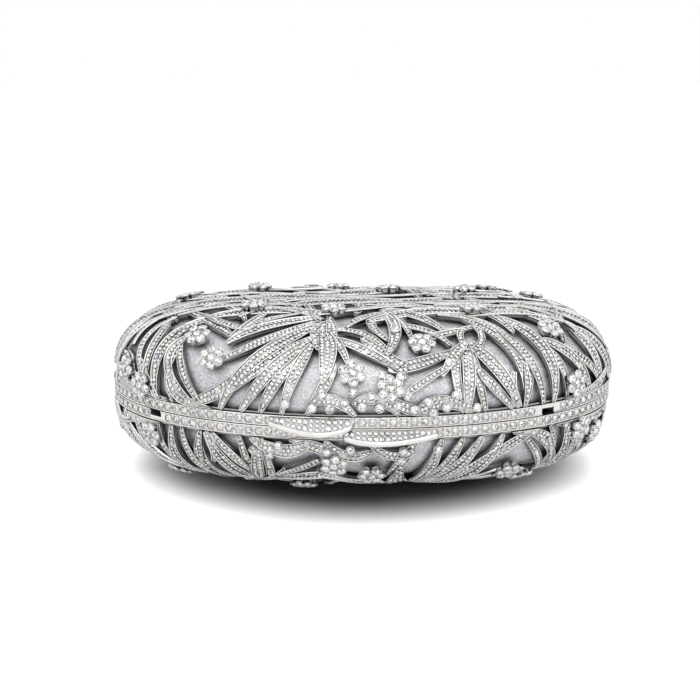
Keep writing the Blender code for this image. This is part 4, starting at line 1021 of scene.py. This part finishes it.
def pave_layout(half):
    """Flat place, lift and diameter of a half's small stones, none under a higher leaf or a flower."""
    rows = []
    loops = [leaf.loop() for leaf in leaves]
    for leaf in leaves:
        stones = leaf.stones()
        if not len(stones):
            continue
        keep = np.ones(len(stones), dtype=bool)
        low, high = stones[:, :2].min(axis=0), stones[:, :2].max(axis=0)
        for other, loop in zip(leaves, loops):
            apart = np.any(loop.max(axis=0) < low) or np.any(loop.min(axis=0) > high)
            if other.level > leaf.level and not apart:
                keep &= ~inside(stones[:, :2], loop)
        rows.append(stones[keep])
    stones = np.concatenate(rows)
    place, _ = on_dome(stones[:, :2])
    keep = np.hypot(*(stones[:, :2] / SHEET_HALF).T) < PAVE_REACH_SHARE
    flowers, singles = floret_places + rest_places, single_places[half]
    for centres, clearance in ((flowers, FLORET_CLEARANCE), (singles, SINGLE_CLEARANCE)):
        middles, _ = on_dome(np.array(centres) * SHEET_HALF)
        for middle in middles:
            keep &= np.linalg.norm(place - middle, axis=1) > clearance
    stones, place = stones[keep], place[keep]
    grid, chosen = {}, []
    reach = PAVE_DIAMETER * PAVE_SPACING
    for index in np.argsort(-stones[:, 2]):
        cell = tuple((place[index] // reach).astype(int))
        cells = itertools.product(*((axis - 1, axis, axis + 1) for axis in cell))
        near = [other for beside in cells for other in grid.get(beside, ())]
        if all(np.linalg.norm(place[index] - place[other]) > reach for other in near):
            grid.setdefault(cell, []).append(index)
            chosen.append(index)
    return stones[np.array(sorted(chosen))]


def foot_line(inset, lift):
    """Points round the openwork's foot."""
    shares = np.stack((np.cos(RIM_TURNS), np.sin(RIM_TURNS)), axis=1) * (1 - inset / SHEET_HALF[1])
    return openwork.points(shares) + openwork.normals(shares) * lift


def make_openwork(half, signs):
    """Leaves, base band and small stones of one half."""
    metal = Pile()
    for leaf in leaves:
        metal.grid(*leaf.rings())
    metal.band(RING_SECTION, foot_line)
    cover = metal.piece(half + "_openwork", signs, cast_metal, CAST_SMOOTHING)
    face_outwards(cover)
    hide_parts(half + "_openwork_cover")
    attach(cover, half + "_half")

    pave = pave_layout(half)
    print("small stones of the", half, "half:", len(pave))
    place, normal = on_dome(pave[:, :2])
    stones = Pile()
    # Small stones: facet tones of painted reflections, darkened on the crown by painted shade.
    tones = painted_facet_reflections(len(pave), SMALL_STONE) * painted_crown_shade(pave[:, :2])[:, None]
    stones.stamp(SMALL_STONE, place + normal * (pave[:, 2] + PAVE_SEAT)[:, None],
                 stone_frames(normal, PAVE_TILT), pave[:, 3] / 2, tones)
    piece = stones.piece(half + "_pave", signs, crystal)
    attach(piece, half + "_half")


# Flowers and single stones

def make_flowers(half, signs):
    """Flowers of seven round stones in cups, and single stones."""
    places_on_sheet = (floret_places, rest_places, single_places[half])
    regular, resting, singles = (np.array(shares) * SHEET_HALF for shares in places_on_sheet)
    tops, ups = on_dome(regular)
    tops += ups * (SEAT_GAP + FLORET_HEIGHT)
    rests, _ = on_dome(resting)
    rests[:, 2] = HALF_THICKNESS
    tops = np.concatenate((tops, rests))
    ups = np.concatenate((ups, np.tile((0.0, 0.0, 1.0), (len(rests), 1))))
    axes = steady_frames(ups, np.tile(FLORET_HEADING, (len(ups), 1)))

    table = TABLE_HEIGHT * FLORET_STONE / 2
    places, normals = [], []
    for top, up, (ahead, aside, _) in zip(tops, ups, axes.transpose(0, 2, 1)):
        spin = rng.random() * math.pi / 3
        places.append(top - up * table)
        normals.append(up)
        for petal in range(6):
            turn = spin + petal * math.pi / 3
            out = ahead * math.cos(turn) + aside * math.sin(turn)
            places.append(top + out * FLORET_RING_RADIUS - up * (table + PETAL_DROP))
            normals.append(unit(up + out * PETAL_TILT))
    seats, ways_up = on_dome(singles)
    radii = np.repeat((FLORET_STONE / 2, SINGLE_STONE / 2), (len(places), len(seats)))
    places = np.concatenate((places, seats + ways_up * SINGLE_RISE))
    normals = np.concatenate((normals, ways_up))

    stones, cups = Pile(), Pile()
    seats, ways_up = on_dome(np.concatenate((regular, resting, singles)))
    sizes = np.where(np.arange(len(seats)) < len(tops), PAD_RADIUS, SINGLE_STONE / 2)
    # The pads' dark tone is painted shade under the flowers and single stones.
    cups.stamp(PAD, seats, stone_frames(ways_up, 0.0), sizes, PAD_TONE)
    frames = stone_frames(normals, FLORET_STONE_TILT)
    stones.stamp(BRILLIANT, places, frames, radii * FLORET_STONE_FIT, painted_facet_reflections(len(places), BRILLIANT))
    cups.stamp(CUP, places, frames, radii, CUP_TONE)
    for turn in np.arange(4) * math.pi / 2:
        out = frames[:, :, 0] * math.cos(turn) + frames[:, :, 1] * math.sin(turn)
        claws = places + out * radii[:, None] * CLAW_REACH + normals * CLAW_RISE
        cups.stamp(CLAW, claws, frames, CLAW_RADIUS, 1.0)
    florets = stones.piece(half + "_florets", signs, crystal)
    settings = cups.piece(half + "_floret_cups", signs, cast_metal, FORM_SMOOTHING)
    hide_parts(*[f"{half}_floret_{index:02d}" for index in range(1, 17)])
    for piece, slot in ((florets, "crystal"), (settings, "openwork_metal")):
        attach(piece, half + "_half")


# Rims

def rim_line(inset, height):
    """Points round the rim."""
    return np.stack((*outline(RIM_TURNS, inset), np.full(RIM_STATIONS, height)), axis=1)


def even_angles(pitch):
    """Angles of places spaced evenly along the rim's outer line, as near the pitch as closes the row."""
    fine = np.linspace(0.0, 2 * math.pi, LINE_STEPS)
    run = run_lengths(np.stack(outline(fine), axis=1))
    number = round(run[-1] / pitch)
    return np.interp(np.arange(number) * run[-1] / number, run, fine)


def rim_frames(angles):
    """Places on the rim's outer line, ways out and ways along."""
    level = np.zeros(len(angles))
    steps = (0.0, LINE_STEP, -LINE_STEP)
    points, ahead, behind = (np.stack((*outline(angles + step), level), axis=1) for step in steps)
    along = unit(ahead - behind)
    out = np.stack((along[:, 1], -along[:, 0], along[:, 2]), axis=1)
    return points, out, along


def near_rim(place):
    """Point, way out and way along of the near rim at a place along X, in the bag's frame."""
    fine = np.linspace(-math.pi, 0.0, LINE_STEPS)
    angle = np.array([np.interp(place, outline(fine)[0], fine)])
    return [values[0] for values in rim_frames(angle)]


def cut_box(piece, centre, axes, size):
    """Cuts a box out of a piece. axes are the columns of its turn."""
    bpy.ops.mesh.primitive_cube_add(size=1)
    box = bpy.context.active_object
    box.matrix_world = Matrix.Translation(centre) @ Matrix(axes * size).to_4x4()
    modifier = piece.modifiers.new("slot", "BOOLEAN")
    modifier.operation = "DIFFERENCE"
    modifier.solver = "EXACT"
    modifier.object = box
    view = bpy.context.evaluated_depsgraph_get()
    mesh = bpy.data.meshes.new_from_object(piece.evaluated_get(view))
    piece.modifiers.clear()
    piece.data = mesh
    bpy.data.objects.remove(box, do_unlink=True)


def make_rim(half, signs):
    """Rim band with its slot, and its row of round stones in bezels."""
    band = Pile()
    band.band(RIM_SECTION, rim_line)
    rim = band.piece(half + "_rim", signs, rim_metal)
    face_outwards(rim)
    point, out, along = near_rim(SLOT_SHARES[half] * HALF_LENGTH)
    axes = np.stack((along, out, np.cross(along, out)), axis=1)
    cut_box(rim, point + BAG_CENTRE, axes, (SLOT_LENGTH, 4 * RIM_THICKNESS, 2 * SLOT_HEIGHT))
    rim.data.shade_smooth()
    rim.data.set_sharp_from_angle(angle=CAST_SMOOTHING)
    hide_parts(half + "_rim_frame")
    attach(rim, half + "_half")

    place, out, along = rim_frames(even_angles(RIM_PITCH))
    world_x = place[:, 0] * signs[0]
    near = place[:, 1] < 0
    hidden = near & (np.abs(world_x - point[0]) <= SLOT_LENGTH / 2 + RIM_STONE * SLOT_CLEARANCE)
    left, right = TAB_ENDS[half]
    hidden |= near & (world_x > left + TAB_MARGIN) & (world_x < right - TAB_MARGIN)
    hidden |= ~near & (np.abs(world_x) < HINGE_COVER)
    place, out, along = place[~hidden], out[~hidden], along[~hidden]
    place[:, 2] = (RIM_HEIGHT + RIM_FOOT) / 2
    centre = place - out * (TABLE_HEIGHT * RIM_STONE / 2 + RIM_STONE_DEPTH)
    stones, bezels = Pile(), Pile()
    stones.stamp(BRILLIANT, centre, stone_frames(out, RIM_STONE_TILT), RIM_STONE / 2 * RIM_STONE_FIT,
                 painted_facet_reflections(len(centre), BRILLIANT))
    # Bezel tones: the dark outer wall is a painted shadow outline round each stone.
    bezel_tones = np.repeat(BEZEL_TONES, BEZEL_SIDES)
    bezels.stamp(BEZEL, centre, steady_frames(out, along), RIM_STONE / 2, bezel_tones)
    row = stones.piece(half + "_rim_stones", signs, crystal)
    settings = bezels.piece(half + "_rim_bezels", signs, rim_metal, FORM_SMOOTHING)
    for piece, slot in ((row, "crystal"), (settings, "rim_metal")):
        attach(piece, half + "_half")


# Thumb tabs

def tab_section(way, top_root, lip_top, foot_root):
    """Section of a tab: reach and level pairs round it, from the root of its slope."""
    skewed = way ** TAB_SKEW if top_root > 0 else 1 - (1 - way) ** TAB_SKEW
    swell = max(0.0, math.sin(math.pi * skewed)) ** TAB_FULLNESS_SHARE
    reach = SEAT_GAP + TAB_ROOT + (TAB_REACH - TAB_ROOT) * swell
    foot = foot_root + (lip_top - TAB_LIP_HEIGHT - foot_root) * swell
    lip = foot + TAB_LIP_HEIGHT
    softened = [(reach - back, lip + up) for back, up in TAB_SOFTENING]
    return ((0.0, top_root), *softened, (reach, (lip + foot) / 2), (reach - TAB_BEVEL, foot),
            (reach - RIM_LIP, foot), (SEAT_GAP + TAB_ROOT, foot_root), (0.0, foot_root))


def make_tab(half, top_root, lip_top, foot_root):
    """Crescent tab along the near rim: stones on the slope, smooth lip below."""
    left, right = TAB_ENDS[half]
    rings, outs, alongs = [], [], []
    for way in np.linspace(0.0, 1.0, TAB_STATIONS):
        point, out, along = near_rim(left + (right - left) * way)
        section = tab_section(way, top_root, lip_top, foot_root)
        rings.append([point + out * reach + (0.0, 0.0, level) for reach, level in section])
        outs.append(out)
        alongs.append(along)
    rings = np.array(rings)
    upright = np.ones(3)
    body = Pile()
    body.grid(rings, TAB_TONES)
    tab = body.piece(half + "_tab", upright, rim_metal, FORM_SMOOTHING)
    face_outwards(tab)
    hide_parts(half + "_thumb_tab")

    places, normals, diameters = [], [], []
    run = run_lengths(rings[:, 0])
    for stop in np.arange(TAB_PITCH / 2, run[-1], TAB_PITCH):
        root, lip = (np.array([np.interp(stop, run, axis) for axis in rings[:, edge].T]) for edge in (0, 1))
        slope = lip - root
        length = np.linalg.norm(slope)
        if length < SHORTEST_SLOPE:
            continue
        index = int(np.interp(stop, run, np.arange(len(run))))
        normal = unit(np.cross(alongs[index], slope))
        if np.dot(normal, outs[index] + (0.0, 0.0, SLOPE_LEAN)) < 0:
            normal = -normal
        number = max(1, round(length / TAB_PITCH))
        for row in range(number):
            places.append(root + slope * (row + 0.5) / number + normal * TAB_STONE_RISE)
            normals.append(normal)
            diameters.append(min(TAB_STONE, length / number * TAB_STONE_FIT))
    places, normals, diameters = np.array(places), np.array(normals), np.array(diameters)
    stones = Pile()
    stones.stamp(BRILLIANT, places, stone_frames(normals, TAB_STONE_TILT), diameters / 2,
                 painted_facet_reflections(len(places), BRILLIANT))
    row = stones.piece(half + "_tab_stones", upright, crystal)
    for piece, slot in ((tab, "rim_metal"), (row, "crystal")):
        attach(piece, half + "_half")


# Backing and lining

def shell_rings(inset, around, folds=False):
    """Rings of one face of a shell, from near the crown to the foot, with the lining's gathers if asked."""
    dome = Dome(inset)
    turns = 2 * math.pi * np.arange(around) / around
    rings = []
    for share in np.linspace(FIRST_ROW_SHARE, 1.0, SHELL_ROWS):
        shares = np.stack((np.cos(turns), np.sin(turns)), axis=1) * share
        drift = turns + FOLD_DRIFT[0] * np.sin(turns * FOLD_DRIFT[1] + share * FOLD_DRIFT[2])
        waves = sum(height * np.sin(drift * number + start) for height, number, start in FOLDS)
        waves = np.abs(waves) * share ** FOLD_FADE * (1 - share ** FOLD_END) if folds else np.zeros(around)
        rings.append(dome.points(shares) - dome.normals(shares) * waves[:, None])
    return rings


def make_shell(name, node, half, signs, inset, thickness, material,
               around=SHELL_AROUND, folds=False):
    """Closed shell between two insets."""
    outer = shell_rings(inset, around)
    inner = shell_rings(inset + thickness, around, folds)
    rings = np.array(outer + inner[::-1])
    tones = np.ones(rings.shape[:2])
    # Painted shade: the glitter board darkens at its foot by the rim, and on its inner face.
    tones[SHELL_ROWS - 1:] = FOOT_PAINTED_SHADE
    shell = Pile()
    shell.grid(rings, tones)
    piece = shell.piece(name, signs, material, FORM_SMOOTHING)
    face_outwards(piece)
    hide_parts(node)
    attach(piece, half + "_half")
    return piece


for half, signs in HALVES:
    make_openwork(half, signs)
    make_flowers(half, signs)
    make_rim(half, signs)
    make_shell(half + "_glitter_board", half + "_backing_shell", half, signs,
               OPENWORK_THICKNESS + BACKING_SETBACK, BACKING_THICKNESS, glitter)
    lining = make_shell(half + "_satin_lining", half + "_lining", half, signs,
                        LINING_INSET, LINING_THICKNESS, satin, LINING_AROUND, True)

make_tab("upper", RIM_HEIGHT - RIM_LIP, -UPPER_TAB_DROP + TAB_LIP_HEIGHT, SEAT_GAP)
make_tab("lower", -RIM_LIP, -LOWER_TAB_DROP + TAB_LIP_HEIGHT, -RIM_HEIGHT)

for metal, nodes in ((fitting_metal, FITTINGS), (steel, STEEL_PARTS)):
    for node in nodes:
        materials = bpy.data.objects[node].data.materials
        materials.clear()
        materials.append(metal)


# Floor, light and camera

def make_floor():
    """Pale floor with a shadow painted round the bag for the camera; it keeps the bag's real shadow too."""
    bpy.ops.mesh.primitive_plane_add(size=FLOOR_SIZE)
    floor = bpy.context.active_object
    floor.name = "floor"
    material, tree, shader = new_material("floor_white")
    path = tree.nodes.new("ShaderNodeLightPath")
    matt = tree.nodes.new("ShaderNodeBsdfDiffuse")
    oval = placed(tree, "ShaderNodeMapping", {"Scale": PAINTED_SHADOW_OVAL})
    reach = tree.nodes.new("ShaderNodeVectorMath")
    reach.operation = "LENGTH"
    tree.links.new(oval.outputs["Vector"], reach.inputs[0])
    # Painted shadow: the camera sees the floor dark in an oval round the bag, and white beyond it.
    painted_shadow_and_white = scaled(tree, reach.outputs["Value"], *FLOOR_SEEN_PAINTED_SHADOW_TO_WHITE, *PAINTED_SHADOW_SPREAD, "SMOOTHSTEP")
    depth = placed(tree, "ShaderNodeSeparateXYZ").outputs["Y"]
    lighting = scaled(tree, depth, *FLOOR_LEVELS, *FLOOR_DEPTH)
    level = mixed(tree, path.outputs["Is Camera Ray"], lighting, painted_shadow_and_white)
    shade = tree.nodes.new("ShaderNodeCombineColor")
    for channel in ("Red", "Green", "Blue"):
        tree.links.new(level, shade.inputs[channel])
    tree.links.new(shade.outputs["Color"], matt.inputs["Color"])
    tree.links.new(matt.outputs["BSDF"], tree.nodes["Material Output"].inputs["Surface"])
    tree.nodes.remove(shader)
    floor.data.materials.append(material)


def make_world():
    """Studio surround: soft light from above, white for the camera, large pale panels in mirror rays."""
    world = bpy.data.worlds.new("studio")
    bpy.context.scene.world = world
    world.use_nodes = True
    tree = world.node_tree
    background = tree.nodes["Background"]
    background.inputs["Color"].default_value = (1.0, 1.0, 1.0, 1.0)
    way = placed(tree, "ShaderNodeSeparateXYZ", coordinates="Generated").outputs
    sky = scaled(tree, way["Z"], *SKY_LEVELS)
    panels = ramp(tree, noise(tree, scale=4.5, detail=1.5, coordinates="Generated"), PANEL_TINTS)
    wall = scaled(tree, way["Y"], *WALL_LEVELS, *WALL_DEPTH)
    across = tree.nodes.new("ShaderNodeMath")
    across.operation = "ABSOLUTE"
    tree.links.new(way["X"], across.inputs[0])
    sides = scaled(tree, across.outputs["Value"], *SIDE_LEVELS, *SIDE_REACH)
    mirrored = multiplied(tree, multiplied(tree, panels, wall), sides)
    path = tree.nodes.new("ShaderNodeLightPath")
    level = mixed(tree, path.outputs["Is Glossy Ray"], sky, mirrored)
    level = mixed(tree, path.outputs["Is Transmission Ray"], level, 1.0)
    level = mixed(tree, path.outputs["Is Camera Ray"], level, 1.0)
    tree.links.new(level, background.inputs["Strength"])


def make_lamp(name, place, size, power):
    """Square soft lamp that faces the bag."""
    data = bpy.data.lights.new(name, "AREA")
    data.size = size
    data.energy = power
    lamp = bpy.data.objects.new(name, data)
    lamp.location = place
    aim = Vector((0.0, 0.0, HALF_THICKNESS)) - Vector(place)
    lamp.rotation_euler = aim.to_track_quat("-Z", "Y").to_euler()
    bpy.context.scene.collection.objects.link(lamp)


def make_camera():
    """Camera at the photograph's angle and framing."""
    data = bpy.data.cameras.new("camera")
    data.sensor_width = SENSOR_WIDTH
    data.lens = FOCAL_LENGTH
    data.shift_x = (IMAGE_SIZE / 2 - CENTRE_PIXEL[0]) / IMAGE_SIZE
    data.shift_y = (CENTRE_PIXEL[1] - IMAGE_SIZE / 2) / IMAGE_SIZE
    camera = bpy.data.objects.new("camera", data)
    back = Vector((0.0, -math.cos(CAMERA_RISE), math.sin(CAMERA_RISE)))
    camera.location = Vector(BAG_CENTRE) + CAMERA_DISTANCE * back
    camera.rotation_euler = (math.pi / 2 - CAMERA_RISE, 0.0, 0.0)
    bpy.context.scene.collection.objects.link(camera)
    bpy.context.scene.camera = camera


make_floor()
make_world()
for lamp in LAMPS:
    make_lamp(*lamp)
make_camera()
bpy.context.scene.view_settings.view_transform = "Standard"
